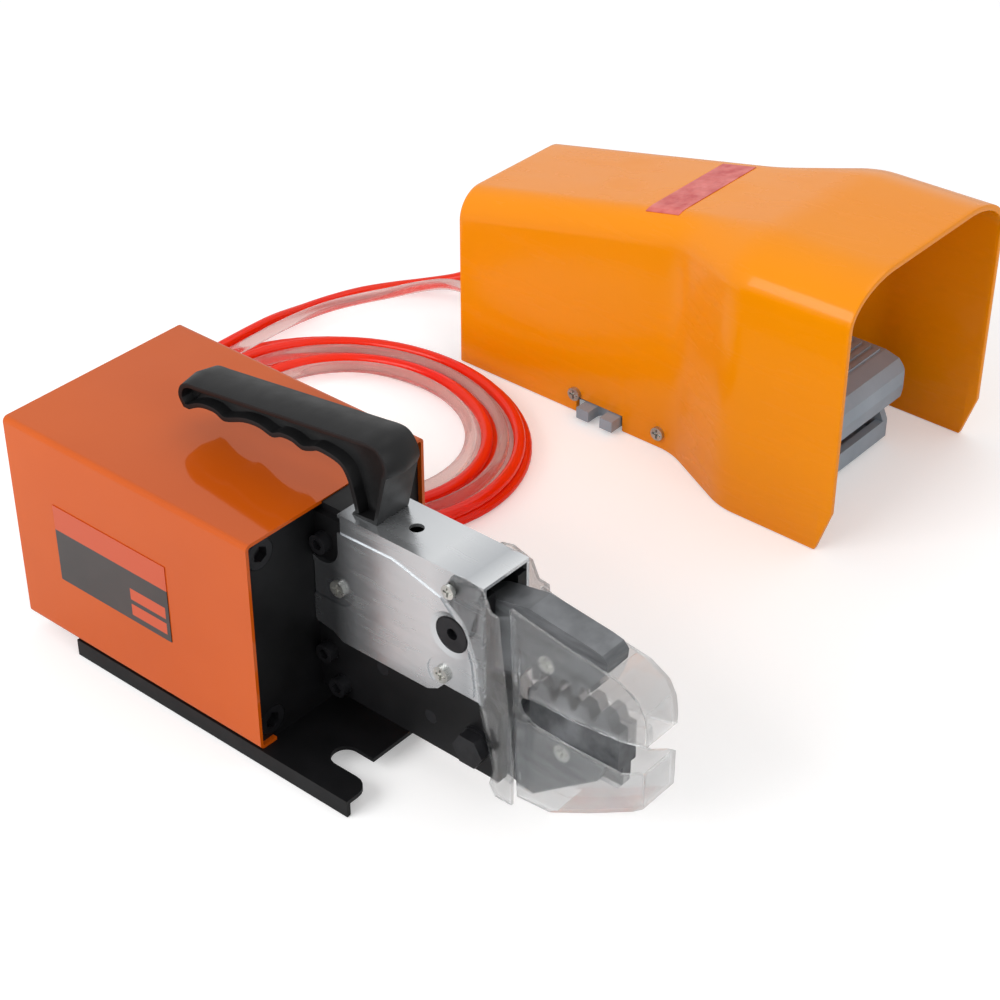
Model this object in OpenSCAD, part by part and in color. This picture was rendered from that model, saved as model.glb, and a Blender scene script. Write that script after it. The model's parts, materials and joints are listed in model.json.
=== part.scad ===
// Pneumatic crimping tool with its guarded foot valve, joined by two air hoses.
// In the tool's own space X runs from the housing's rear to the jaws, Y across the tool
// and Z up from the bench. The whole set is then centred on the origin.

/* [Housing] */
// Length of the painted housing
housing_l = 141; // [136:1:150]
// Width of the painted housing
housing_w = 100; // [96:1:106]
// Height of the painted housing
housing_h = 100; // [96:1:106]
// Sheet thickness of the painted cover
cover_t = 1.5; // [1:0.1:2]
// Width of the lips that the cover turns in under the heads
cover_lip = 9; // [6:0.5:12]
// Distance that the heads sit inside the cover's ends
head_recess = 2; // [1:0.5:4]

/* [Base plate] */
// Height of the plate's upper face above the bench
base_h = 8; // [6:0.5:12]
// Sheet thickness of the plate
base_t = 2; // [1.5:0.5:3]
// Distance from the housing's rear to the plate's rear edge
base_rear = 30; // [15:1:45]
// Reach of the mounting tabs in front of the housing
tab_reach = 47; // [42:1:55]
// Reach of the plate's middle in front of the housing
middle_reach = 37.5; // [30:0.5:40]
// Width of each open mounting slot
slot_w = 12; // [8:0.5:14]
// Length of each open mounting slot
slot_l = 25; // [18:1:30]
// Distance of each slot's middle from the plate's long edge
slot_inset = 19.5; // [15:0.5:24]

/* [Cylinder] */
// Bore of both air cylinders
bore_d = 80; // [70:1:82]
// Wall of both barrels
barrel_t = 4; // [3:0.5:5]
// Thickness of the front head
front_head_t = 14; // [12:1:20]
// Thickness of the rear head
rear_head_t = 14; // [12:1:20]
// Thickness of the wall between the two cylinders
divider_t = 12; // [10:1:16]
// Diameter of the piston rod
rod_d = 12; // [10:0.5:12]
// Thickness of each piston
piston_t = 16; // [12:1:18]
// Diameter of the tie screws
tie_d = 8; // [6:1:8]

/* [Head] */
// Length of the head from the front head's face to the cover's front edge
head_l = 88; // [84:1:94]
// Height of the head's top over the housing's top
head_rise = 1; // [0:0.5:3]
// Height of the frame plates' lower edge above the bench
frame_low = 18; // [15:0.5:20]
// Thickness of each frame plate
frame_t = 5; // [4:0.5:6]
// Thickness of the plated head cover
plated_t = 1.5; // [1:0.1:2]
// Thickness of the jaws
jaw_t = 12.6; // [11:0.1:14]
// Reach of the moving jaw in front of its pivot
jaw_reach = 70; // [64:1:76]
// Diameter of the jaw's pivot pin
pivot_d = 14; // [12:0.5:16]
// Length of the jaw's rear arm
arm_l = 38; // [36:1:40]
// Diameter of the thrust and support rollers
roller_d = 14; // [13:0.5:15]
// Angle that the moving jaw opens
jaw_angle = 8; // [6:0.5:9]
// Rise of the wedge for each unit of its length
wedge_slope = 0.24; // [0.2:0.01:0.28]
// Diameter of the hexagon bolt
bolt_d = 8; // [6:1:10]

/* [Dies] */
// Length of both dies
die_l = 42; // [34:1:44]
// Thickness of both dies
die_t = 10.6; // [9:0.1:12]
// Height of the lower die over the lower jaw
die_h = 23; // [22:0.5:23.5]
// Depth of the dies' teeth
tooth_h = 5; // [3:0.5:6]
// Pitch of the dies' teeth
tooth_pitch = 9.2; // [8:0.1:12]

/* [Jaw guard] */
// Wall of the clear guard
guard_t = 1.5; // [1:0.1:2]
// Reach of the guard in front of the head
guard_reach = 73; // [70:0.5:85]
// Outside width of the guard along the jaws
guard_w = 19; // [18:0.5:22]

/* [Handle] */
// Width of the grip
grip_w = 18; // [16:0.5:22]
// Length of the grip from its free end to the leg's front
grip_l = 114; // [104:1:120]
// Height of the handle over the head
grip_h = 38; // [34:0.5:44]
// Thickness of the handle's rim
rim_t = 3; // [2:0.5:4]

/* [Hoses] */
// Outside diameter of both hoses
hose_d = 6; // [6:0.5:6]

/* [Foot valve] */
// Distance from the crimping tool's middle to the foot valve's middle
valve_y = 282.5; // [281:0.5:290]
// Length of the hood
hood_l = 240; // [236:1:255]
// Width of the hood over the valve
hood_rear_w = 86; // [84:1:88]
// Width of the hood at its opening
hood_front_w = 131; // [125:1:145]
// Height of the hood at its rear edge
hood_rear_h = 96; // [90:0.5:110]
// Height of the hood at its opening
hood_front_h = 136; // [130:1:150]
// Wall of the moulded hood
hood_t = 3; // [2:0.5:3.5]
// Width of the cast base
cast_w = 70; // [66:1:72]
// Width of the pedal plate
pedal_w = 74; // [70:1:78]
// Travel of the pedal in degrees
pedal_angle = 7; // [4:0.5:7]

/* [Hidden] */
// Overrun of every cut
over = 1;
// Radial clearance of pins and shafts that turn or slide
run_gap = 0.05;
// Side clearance between parts that move past each other
side_gap = 0.2;
// Gap that a contact which rolls or pushes has at rest
touch_gap = 0.15;
// Clearance around parts that are dropped into a sheet cover
nest_gap = 0.2;
// Radial clearance of screws in plain holes
screw_gap = 0.2;

// Shapes

module block(low, high)
    translate(low) cube(high - low);

module along_y(low, high)
    translate([0, high, 0]) rotate([90, 0, 0]) linear_extrude(high - low) children();

module rod_x(low, high, y, z, r)
    translate([low, y, z]) rotate([0, 90, 0]) cylinder(h = high - low, r = r, $fn = 48);

module rod_y(low, high, x, z, r)
    translate([x, low, z]) rotate([-90, 0, 0]) cylinder(h = high - low, r = r, $fn = 48);

module rod_z(low, high, x, y, r)
    translate([x, y, low]) cylinder(h = high - low, r = r, $fn = 48);

module both_sides() {
    children();
    mirror([0, 1, 0]) children();
}

function unit(v) = v / norm(v);
function turn(a) = a > 180 ? a - 360 : a < -180 ? a + 360 : a;

// Points of one rounded corner, where each corner is [x, y, radius]
function corner(before, at, after, steps) =
    at[2] == 0 ? [[at[0], at[1]]] :
    let (
        b = [at[0], at[1]],
        u = unit([before[0], before[1]] - b),
        w = unit([after[0], after[1]] - b),
        half = acos(u * w) / 2,
        middle = b + unit(u + w) * at[2] / sin(half),
        first = b + u * at[2] / tan(half) - middle,
        last = b + w * at[2] / tan(half) - middle,
        start = atan2(first[1], first[0]),
        sweep = turn(atan2(last[1], last[0]) - start)
    )
    [for (i = [0 : steps]) middle + at[2] * [cos(start + sweep * i / steps), sin(start + sweep * i / steps)]];

function rounded(corners, steps = 5) =
    let (n = len(corners))
    [for (i = [0 : n - 1]) each corner(corners[(i + n - 1) % n], corners[i], corners[(i + 1) % n], steps)];

function tangent(path, i) = unit(path[min(i + 1, len(path) - 1)] - path[max(i - 1, 0)]);
function ring(at, along, r, sides) =
    let (side = unit(cross(along, [0, 0, 1])), up = cross(side, along))
    [for (k = [0 : sides - 1]) at + r * (cos(360 * k / sides) * side + sin(360 * k / sides) * up)];

// One unbroken tube along a path
module tube(path, r, sides) {
    n = len(path);
    points = [for (i = [0 : n - 1]) each ring(path[i], tangent(path, i), r, sides)];
    walls = [for (i = [0 : n - 2], k = [0 : sides - 1])
        let (a = i * sides + k, b = i * sides + (k + 1) % sides)
        each [[a, b, a + sides], [b, b + sides, a + sides]]];
    first = [[for (k = [sides - 1 : -1 : 0]) k]];
    last = [[for (k = [0 : sides - 1]) (n - 1) * sides + k]];
    polyhedron(points = points, faces = concat(first, walls, last), convexity = 8);
}

// Places shared by several pieces

axis_z = base_h + housing_h / 2;
inner_w = housing_w - 2 * cover_t - 2 * nest_gap;
inner_low = base_h + cover_t;
inner_top = base_h + housing_h - cover_t - nest_gap;
tie_edge = 7.5;
tie_y = inner_w / 2 - tie_edge;
tie_z = (inner_top - inner_low) / 2 - tie_edge;
tie_mid = (inner_top + inner_low) / 2;
tie_head_d = 13;
tie_head_h = 8;

head_x = housing_l - head_recess;
front_barrel_end = head_x - front_head_t;
rear_barrel_end = head_recess + rear_head_t;
barrel_l = (front_barrel_end - rear_barrel_end - divider_t) / 2;
barrel_r = bore_d / 2 + barrel_t;

tube_d = 6;
tube_angle = 36;
tube_gap = 0.5;
tube_ring = barrel_r + tube_d / 2 + tube_gap;
tube_y = tube_ring * cos(tube_angle);
tube_z = axis_z - tube_ring * sin(tube_angle);
port_pitch = 28;
bush_l = 12;
seal_l = 3;
seal_wall = 3;
spigot_l = 3;
piston_rest = 1;
piston_dish_r = 20;
piston_dish_l = 2.5;
rod_r = rod_d / 2;
bush_r = rod_r + seal_wall;
cover_bend = 2.5;
inner_bend = cover_bend - cover_t;
lip_y = housing_w / 2 - cover_lip;
foot_y = lip_y - nest_gap;
divider_low = rear_barrel_end + barrel_l;
divider_high = divider_low + divider_t;
divider_foot_y = 30;
rear_piston_x = rear_barrel_end + spigot_l + piston_rest;
front_piston_x = divider_high + spigot_l + piston_rest;
air_r = 2;
tube_seat = 6;
chamber_ring = 34;
tie_margin = 4;

base_screw_r = 2.5;
base_screw_l = 10;
base_screw_y = 20;
base_head_r = 4.5;
base_head_h = 2.8;

port_r = 4.5;
port_l = 6;
port_a_y = tube_y - port_pitch;

label_l = 67;
label_h = 37.5;
label_t = 0.4;
label_x = 26;
label_z = 30.6;

// Head

head_top = base_h + housing_h + head_rise;
head_end = head_x + head_l;
head_h = head_top - frame_low;
cap_h = 3.5;
cap_y = 9;
frame_lip = 6;
frame_top = head_top - plated_t - cap_h;
frame_h = frame_top - frame_low;
frame_end = head_end + frame_lip;
frame_in = jaw_t / 2 + side_gap;
frame_out = frame_in + frame_t;
cover_out = frame_out + plated_t;
frame_shares = [[0, 0], [1, 0], [1, 0.37], [0.936, 0.44], [0.936, 1], [0, 1]];
frame_screw_shares = [[0.06, 0.86], [0.064, 0.237], [0.136, 0.07]];
frame_screw_r = 2.5;
frame_screw_l = 11;
frame_screw_head_r = 4.25;
frame_screw_head_h = 4.5;
upper_spacer_l = 33;
upper_spacer_h = 17;
lower_spacer_l = 23;
lower_spacer_h = 24;
upper_spacer_z = frame_top - upper_spacer_h;
stud_r = 4;
stud_l = 10;
upper_stud_z = frame_top - upper_spacer_h / 2;
lower_stud_z = frame_low + lower_spacer_h / 2;

pivot_back = 16;
pivot_drop = 29;
pivot_r = pivot_d / 2;
pivot_x = head_end - pivot_back;
pivot_z = head_top - pivot_drop;
clip_r = 7.8;
clip_t = 1;
clip_depth = 1;
pivot_rim = 0.25;
pivot_end = frame_out + clip_t + 2 * run_gap + pivot_rim;
pin_recess_r = 2.5;
pin_recess_l = 3;

bolt_back = 4.5;
bolt_rise = 14;
bolt_x = head_end - bolt_back;
bolt_z = frame_low + bolt_rise;
washer_r = 7.5;
washer_t = 1.6;
bolt_head_w = 13;
bolt_head_h = 5.3;
bolt_end = 2;
dowel_r = 3;
dowel_back = 29;
dowel_x = head_end - dowel_back;

// Wedge drive

roller_r = roller_d / 2;
roller_w = 6;
pin_r = 3;
arm_drop = 5;
cheek_r = 5.9;
wedge_drop = 8;
wedge_l = 46;
wedge_w = jaw_t - side_gap;
wedge_gap = 2;
wedge_rear = head_x + wedge_gap;
wedge_low = axis_z - wedge_drop;
rod_spigot_r = 4;
rod_spigot_l = 12;
rest_x = pivot_x - arm_l * cos(jaw_angle) + arm_drop * sin(jaw_angle);
rest_z = pivot_z - arm_l * sin(jaw_angle) - arm_drop * cos(jaw_angle);
closed_x = pivot_x - arm_l;
closed_z = pivot_z - arm_drop;
flank_drop = (roller_r + touch_gap) / cos(atan(wedge_slope));
stroke = (closed_z - rest_z) / wedge_slope + closed_x - rest_x;
support_z = wedge_low - roller_r - touch_gap;
function flank(x) = rest_z - flank_drop - wedge_slope * (x - rest_x);

// Jaws and dies

hub_wall = 7;
hub_r = pivot_r + hub_wall;
jaw_face_drop = 6.8;
die_back = 32;
upper_die_short = 14;
upper_die_l = die_l - upper_die_short;
die_x = pivot_x + die_back;
die_gap = 0.4;
upper_jaw_shares = [
    [-0.057, 0.186], [0.22, 0.26], [0.5, 0.275], [0.9, 0.17], [0.97, 0.145], [1, 0.1], [0.985, 0.04], [0.93, -0.02]
];
upper_neck_shares = [[0.4, -0.171], [0.143, -0.2], [0, -0.1]];
arm_shares = [[-1, 0.02], [-0.3, 0.3], [0.05, 0.3], [0.05, -0.3], [-0.3, -0.34], [-1, -0.28]];
lower_jaw_l = 94;
lower_jaw_h = 32.4;
lower_back = 25;
lower_jaw_x = pivot_x - lower_back;
table_drop = 1;
table_z = wedge_low - table_drop;
lower_jaw_z = table_z - lower_jaw_h;
lower_jaw_shares = [
    [0.553, 1], [1, 1], [0.989, 0.907], [0.968, 0.753], [0.638, 0], [0.564, 0.012],
    [0.511, 0.074], [0.043, 0.167], [0, 0.29], [0, 0.907], [0.043, 0.969], [0.5, 0.969]
];
tongue_t = 5;
upper_tongue_h = 7.8;
lower_tongue_h = 8.6;
upper_screw_in = 8.7;
lower_screw_in = 16.8;
upper_screw_x = die_x + upper_screw_in;
lower_screw_x = die_x + lower_screw_in;
die_screw_r = 2;
die_screw_head_r = 3.8;
die_screw_head_l = 1.9;
die_tip_z = table_z + die_h;
die_valley_z = die_tip_z - tooth_h;
die_teeth = floor(die_l / tooth_pitch);
die_margin = (die_l - die_teeth * tooth_pitch) / 2;

// Guard and handle

guard_low = 13;
guard_rise = 1;
guard_h = head_top + guard_rise - guard_low;
guard_end = head_end + guard_reach;
guard_in = guard_w / 2 - guard_t;
guard_lean = 6.4;
guard_web_x = 233;
flange_shares = [
    [-0.244, 0.842], [-0.261, 0.876], [-0.232, 0.938], [-0.199, 0.985], [-0.119, 1],
    [0.008, 0.973], [0.053, 0.9], [0.3, 0.88], [0.3, 0], [0.087, 0], [0.045, 0.052], [0.075, 0.132], [-0.015, 0.392], [-0.026, 0.464],
    [-0.042, 0.598], [-0.09, 0.714], [-0.136, 0.786]
];
wall_shares = [
    [0.127, 0.918], [0.49, 0.869], [0.821, 0.839], [0.94, 0.79], [0.985, 0.73], [1, 0.66], [1, 0.3],
    [0.94, 0.262], [0.656, 0.127], [0.403, 0.019], [0.18, 0.005]
];
slot_shares = [
    [0.185, 0.485], [0.212, 0.526], [0.291, 0.538], [0.53, 0.542], [0.834, 0.565], [1.02, 0.603],
    [1.02, 0.469], [0.954, 0.454], [0.848, 0.407], [0.552, 0.402], [0.297, 0.412], [0.212, 0.443]
];
flange_reach_share = 0.2;
guard_hollow_share = 0.9;
guard_top_share = 0.745;
guard_low_share = 0.45;
guard_screw_x = pivot_x + guard_t / 2;
guard_screw_drop = 7.3;
guard_screw_z = head_top - guard_screw_drop;
guard_screw_r = 1.5;
guard_screw_l = 6;

grip_x = 62.7;
grip_rise = 2;
handle_shares = [
    [0, 0.4], [0.012, 0.53], [0.046, 0.6], [0.915, 0.947], [0.955, 0.93], [0.985, 0.84], [1, 0.71],
    [0.942, 0], [0.83, 0], [0.848, 0.06], [0.832, 0.24], [0.81, 0.43], [0.774, 0.54], [0.69, 0.574],
    [0.65, 0.53], [0.607, 0.482], [0.56, 0.51], [0.51, 0.5], [0.465, 0.463], [0.42, 0.475],
    [0.325, 0.45], [0.28, 0.405], [0.232, 0.358], [0.18, 0.39], [0.13, 0.38], [0.046, 0.284], [0.01, 0.3]
];
pocket_shares = [
    [0.045, 0.42], [0.06, 0.52], [0.91, 0.86], [0.95, 0.83], [0.97, 0.7], [0.92, 0.1], [0.885, 0.1],
    [0.87, 0.3], [0.83, 0.55], [0.77, 0.65], [0.69, 0.65], [0.607, 0.565], [0.465, 0.54],
    [0.232, 0.44], [0.13, 0.44]
];
rib_share = [0.16, 0.232, 0.35, 0.465, 0.54, 0.607, 0.69, 0.77];
grip_web = 8;
rib_t = 1.6;
crown_h = 2;
crown_slope = 7.6;
crown_share = 0.87;
crown_shares = [[-1, 0], [-0.8, 0.45], [-0.4, 0.85], [0, 1], [0.4, 0.85], [0.8, 0.45], [1, 0]];
handle_screw_r = 3;
handle_screw_share = 0.886;
handle_screw_x = grip_x + grip_l * handle_screw_share;
handle_screw_l = 16;
handle_head_r = 5;
handle_head_h = 5;

// Fittings, shared by the tool and the foot valve

fit_x = head_recess;
fit_l = 12.8;
fit_r = 6;
thread_r = port_r - run_gap;
collet_r = 4;
collet_l = 6.5;
collet_gap = 1.2;
collet_flange_r = 4.8;
collet_flange_t = 2;
hose_r = hose_d / 2;
hose_bore = hose_r + run_gap;
hose_seat = 4;
hose_x = fit_x - hose_seat;
fit_end = fit_x - fit_l - collet_gap - collet_flange_t;

// Foot valve

hood_back = 5.5;
hood_end = hood_l - hood_back;
flare_x = 130;
flare_l = 44;
crease_drop = 1;
crease_h = hood_front_h - crease_drop;
hood_rear_half = hood_rear_w / 2;
hood_front_half = hood_front_w / 2;
rear_round = 15;
front_round = 34;
front_round_h = 20;
hood_corner_l = 14;
hood_corner_h = 22;
hood_corner_share = 0.4;
notch_x = 71;
notch_l = 28.5;
notch_h = 8.5;
hood_screw_places = [[70.3, 10.5], [122, 8.5]];
hood_screw_r = 2;
hood_screw_l = 8;
hood_screw_head_r = 3.5;
hood_screw_head_h = 2;
tape_x = 102;
tape_w = 19;
tape_t = 0.3;

pad_h = 2;
pad_r = 8;
pad_places = [[20, 24], [190, 24]];
floor_t = 4;
floor_z = pad_h + floor_t;
cast_x = 6;
cast_l = 196.5;
cast_half = cast_w / 2;
cast_wall_t = 4;
cast_wall_h = 38;
cast_shares = [
    [0, 0], [1, 0], [1, 0.26], [0.97, 0.6], [0.85, 0.68], [0.6, 0.86], [0.56, 1], [0.5, 1],
    [0.44, 0.6], [0.2, 0.35], [0, 0.35]
];
front_wall_h = 10;
boss_r = 5;
boss_low = 0.5;
hood_in = hood_rear_half - hood_t;
ear_x = 76.5;
ear_l = 22;
ear_y = 50;
ear_h = 6;
ear_slot_x = 84;
ear_slot_w = 7;
ear_slot_y = 43;

pedal_pin_x = 110;
pedal_pin_z = 38;
pedal_half = pedal_w / 2;
pedal_l = 110;
pedal_h = 22;
pedal_x = 99.5;
pedal_low = 26;
pedal_shares = [
    [0, 0.84], [0, 1], [0.88, 1], [0.95, 0.91], [0.99, 0.7], [1, 0.41], [0.98, 0], [0.954, 0],
    [0.971, 0.41], [0.962, 0.6], [0.93, 0.77], [0.87, 0.86]
];
pedal_corner = 4;
pedal_rib_h = 1;
pedal_rib_w = 2.6;
pedal_rib_pitch = 5;
pedal_rib_l = 93;
pedal_rib_edge = 3;
lug_in = 25;
lug_t = 5;
lug_r = 6;
arm_t = 10;
pusher_x = 98.3;
pusher_low = 14;
pusher_shares = [[0, 0], [0.35, 0], [1, 0.6], [1, 1], [0.1, 1], [0, 0.55]];
pusher_l = 16;
pusher_h = 31;

spring_x = 160;
spring_r = 7;
wire_r = 0.8;
spring_turns = 7;
spring_low = floor_z;
spring_high = pedal_low + pedal_h * pedal_shares[0][1];

body_x = 14;
body_l = 70;
body_half = 13;
body_h = 28;
spool_z = 20;
spool_r = 4.5;
spool_rest = 4;
plunger_r = 3.5;
land_shares = [0.25, 0.5, 0.75];
block_l = 12;
block_half = 24;
valve_port_y = 15;
valve_port_z = 24;
inlet_r = 5.5;
inlet_l = 9;
cap_t = 3;

// Extent of the whole set
centre_x = (guard_end + fit_end) / 2;
centre_y = (valve_y + hood_front_half - housing_w / 2 - label_t) / 2;

module on_tool()
    translate([-centre_x, -centre_y, 0]) children();

module on_valve()
    on_tool() translate([0, valve_y, 0]) children();

module along_x(low, high)
    translate([low, 0, 0]) rotate([90, 0, 90]) linear_extrude(high - low) children();

function box_outline(half, low, high, r) =
    rounded([[-half, low, r], [half, low, r], [half, high, r], [-half, high, r]]);

function placed(shares, x, z, along, up) =
    [for (s = shares) [x + s[0] * along, z + s[1] * up]];

module tie_places()
    for (y = [-tie_y, tie_y], z = [-tie_z, tie_z]) translate([0, y, tie_mid + z]) children();

cross_share = 0.7;
cross_wide_share = 0.15;

module socket(depth, across)
    cylinder(h = depth + over, r = across / sqrt(3), $fn = 6);

module cross_cut(r, depth) {
    long = r * cross_share;
    wide = r * cross_wide_share;
    block([-long, -wide, 0], [long, wide, depth + over]);
    block([-wide, -long, 0], [wide, long, depth + over]);
}

// Housing and cylinder

module head_blank(low, high) {
    along_x(low, high) polygon(box_outline(inner_w / 2, inner_low, inner_top, inner_bend));
    block([low, -foot_y, base_h], [high, foot_y, axis_z]);
}

module housing_cover() color("darkorange") on_tool() difference() {
    along_x(0, housing_l) polygon(box_outline(housing_w / 2, base_h, base_h + housing_h, cover_bend));
    along_x(-over, housing_l + over)
        polygon(box_outline(housing_w / 2 - cover_t, inner_low, base_h + housing_h - cover_t, inner_bend));
    block([-over, -lip_y, base_h - over], [housing_l + over, lip_y, inner_low + over]);
}

module label_plate() color([0.1, 0.1, 0.1]) on_tool()
    block([label_x, -housing_w / 2 - label_t, base_h + label_z],
          [label_x + label_l, -housing_w / 2, base_h + label_z + label_h]);

module front_head() color([0.08, 0.08, 0.09]) on_tool() difference() {
    union() {
        head_blank(front_barrel_end, head_x);
        rod_x(front_barrel_end - spigot_l, front_barrel_end + over, 0, axis_z, bore_d / 2 - run_gap);
    }
    rod_x(front_barrel_end - spigot_l - over, head_x + over, 0, axis_z, rod_r + screw_gap);
    rod_x(front_barrel_end - spigot_l - over, front_barrel_end, 0, axis_z, bush_r);
    rod_x(head_x - bush_l, head_x + over, 0, axis_z, bush_r);
    tie_places() rod_x(front_barrel_end - over, head_x + over, 0, 0, tie_d / 2 + screw_gap);
    tie_places() rod_x(head_x - tie_head_h, head_x + over, 0, 0, tie_head_d / 2 + screw_gap);
    for (z = [upper_stud_z, lower_stud_z])
        rod_x(head_x - stud_l, head_x + over, 0, z, stud_r + run_gap);
    rod_x(front_barrel_end - over, front_barrel_end + tube_seat, tube_y, tube_z, tube_d / 2 + run_gap);
    rod_x(front_barrel_end, front_barrel_end + tube_seat + 2 * air_r, tube_y, tube_z, air_r);
    translate([front_barrel_end + tube_seat + air_r, 0, axis_z]) rotate([-tube_angle, 0, 0])
        rod_y(chamber_ring, tube_ring, 0, 0, air_r);
    translate([0, 0, axis_z]) rotate([-tube_angle, 0, 0])
        rod_x(front_barrel_end - spigot_l - over, front_barrel_end + tube_seat + air_r, chamber_ring, 0, air_r);
    for (y = [-base_screw_y, base_screw_y])
        rod_z(base_h - over, base_h + base_screw_l, head_x - front_head_t / 2, y, base_screw_r + run_gap);
}

module rear_head() color([0.08, 0.08, 0.09]) on_tool() difference() {
    union() {
        head_blank(head_recess, rear_barrel_end);
        rod_x(rear_barrel_end - over, rear_barrel_end + spigot_l, 0, axis_z, bore_d / 2 - run_gap);
    }
    tie_places() rod_x(head_recess + tie_margin, rear_barrel_end + over, 0, 0, tie_d / 2 + run_gap);
    for (y = [port_a_y, tube_y])
        rod_x(head_recess - over, head_recess + port_l, y, tube_z, port_r);
    rod_x(head_recess, rear_barrel_end + spigot_l + over, port_a_y, tube_z, air_r);
    rod_x(head_recess, rear_barrel_end, tube_y, tube_z, air_r);
    rod_x(rear_barrel_end - tube_seat, rear_barrel_end + over, tube_y, tube_z, tube_d / 2 + run_gap);
}

module divider() color([0.75, 0.76, 0.78]) on_tool() difference() {
    union() {
        rod_x(divider_low, divider_high, 0, axis_z, barrel_r);
        rod_x(divider_low - spigot_l, divider_high + spigot_l, 0, axis_z, bore_d / 2 - run_gap);
        block([divider_low, -divider_foot_y, base_h], [divider_high, divider_foot_y, axis_z]);
    }
    rod_x(divider_low - spigot_l - over, divider_high + spigot_l + over, 0, axis_z, rod_r + screw_gap);
    rod_x(divider_low - spigot_l - over, divider_low, 0, axis_z, bush_r);
    for (y = [-base_screw_y, base_screw_y])
        rod_z(base_h - over, base_h + base_screw_l, (divider_low + divider_high) / 2, y, base_screw_r + run_gap);
}

module barrels() color([0.72, 0.73, 0.75]) on_tool()
    for (x = [rear_barrel_end, divider_high]) difference() {
        rod_x(x, x + barrel_l, 0, axis_z, barrel_r);
        rod_x(x - over, x + barrel_l + over, 0, axis_z, bore_d / 2);
    }

module tie_screws() color([0.12, 0.12, 0.13]) on_tool() tie_places() difference() {
    union() {
        rod_x(head_recess + tie_margin, head_x - tie_head_h + over, 0, 0, tie_d / 2);
        rod_x(head_x - tie_head_h, head_x, 0, 0, tie_head_d / 2);
    }
    translate([head_x - tie_head_h / 2, 0, 0]) rotate([0, 90, 0]) socket(tie_head_h / 2, tie_head_d / 2);
}

module transfer_tube() color([0.75, 0.6, 0.3]) on_tool() difference() {
    rod_x(rear_barrel_end - tube_seat, front_barrel_end + tube_seat, tube_y, tube_z, tube_d / 2);
    rod_x(rear_barrel_end - tube_seat - over, front_barrel_end + tube_seat + over, tube_y, tube_z, air_r);
}

module pistons() color([0.7, 0.71, 0.73]) on_tool()
    for (x = [rear_piston_x, front_piston_x]) difference() {
        rod_x(x, x + piston_t, 0, axis_z, bore_d / 2 - run_gap);
        rod_x(x - over, x + piston_t + over, 0, axis_z, rod_r + run_gap);
        rod_x(x - over, x + piston_dish_l, 0, axis_z, piston_dish_r);
        difference() {
            rod_x(x + piston_t / 2 - seal_l / 2, x + piston_t / 2 + seal_l / 2, 0, axis_z, bore_d / 2 + over);
            rod_x(x, x + piston_t, 0, axis_z, bore_d / 2 - seal_wall);
        }
    }

module piston_seals() color([0.15, 0.15, 0.15]) on_tool()
    for (x = [rear_piston_x, front_piston_x]) difference() {
        rod_x(x + piston_t / 2 - seal_l / 2 + run_gap, x + piston_t / 2 + seal_l / 2 - run_gap,
              0, axis_z, bore_d / 2 - run_gap);
        rod_x(x, x + piston_t, 0, axis_z, bore_d / 2 - seal_wall + run_gap);
    }

module piston_rod() color([0.85, 0.86, 0.88]) on_tool() difference() {
    union() {
        rod_x(rear_piston_x, wedge_rear, 0, axis_z, rod_r);
        rod_x(wedge_rear - over, wedge_rear + rod_spigot_l, 0, axis_z, rod_spigot_r);
    }
    rod_x(rear_piston_x - over, front_piston_x + air_r, 0, axis_z, air_r / 2);
    rod_z(axis_z, axis_z + rod_r + over, front_piston_x + air_r / 2 + run_gap, 0, air_r / 2);
}

module rod_bush() color([0.7, 0.55, 0.25]) on_tool() difference() {
    rod_x(head_x - bush_l, head_x, 0, axis_z, bush_r - run_gap);
    rod_x(head_x - bush_l - over, head_x + over, 0, axis_z, rod_r + run_gap);
}

module rod_seals() color([0.15, 0.15, 0.15]) on_tool()
    for (x = [divider_low - spigot_l, front_barrel_end - spigot_l]) difference() {
        rod_x(x + run_gap, x + seal_l - run_gap, 0, axis_z, bush_r - run_gap);
        rod_x(x, x + seal_l, 0, axis_z, rod_r + run_gap);
    }

base_front = housing_l + tab_reach;
base_middle = housing_l + middle_reach;
slot_y = housing_w / 2 - slot_inset;
slot_x = base_front - slot_l + slot_w / 2;
tab_round = 7;

module base_outline() difference() {
    union() {
        polygon(rounded([
            [base_rear, -housing_w / 2, 0], [base_middle, -housing_w / 2, 0],
            [base_middle, housing_w / 2, 0], [base_rear, housing_w / 2, 0]
        ]));
        for (side = [-1, 1])
            polygon(rounded([
                [base_rear, side * housing_w / 2, 0], [base_front, side * housing_w / 2, 0],
                [base_front, side * (slot_y + slot_w / 2), tab_round],
                [base_rear, side * (slot_y + slot_w / 2), 0]
            ]));
    }
    for (side = [-1, 1]) {
        translate([slot_x, side * slot_y]) circle(r = slot_w / 2, $fn = 48);
        translate([slot_x, side * slot_y - slot_w / 2]) square([slot_l, slot_w]);
    }
}

module base_plate() color([0.06, 0.06, 0.07]) on_tool() difference() {
    union() {
        translate([0, 0, base_h - base_t]) linear_extrude(base_t) base_outline();
        both_sides() block([base_rear, housing_w / 2 - base_t, 0], [base_front, housing_w / 2, base_h]);
    }
    for (x = [(divider_low + divider_high) / 2, head_x - front_head_t / 2], y = [-base_screw_y, base_screw_y])
        rod_z(0, base_h + over, x, y, base_screw_r + screw_gap);
}

module base_screws() color([0.2, 0.2, 0.21]) on_tool()
    for (x = [(divider_low + divider_high) / 2, head_x - front_head_t / 2], y = [-base_screw_y, base_screw_y]) {
        rod_z(base_h - base_t - base_head_h, base_h - base_t, x, y, base_head_r);
        rod_z(base_h - base_t - over, base_h + base_screw_l, x, y, base_screw_r);
    }

// Wedge, rollers and frame

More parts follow.
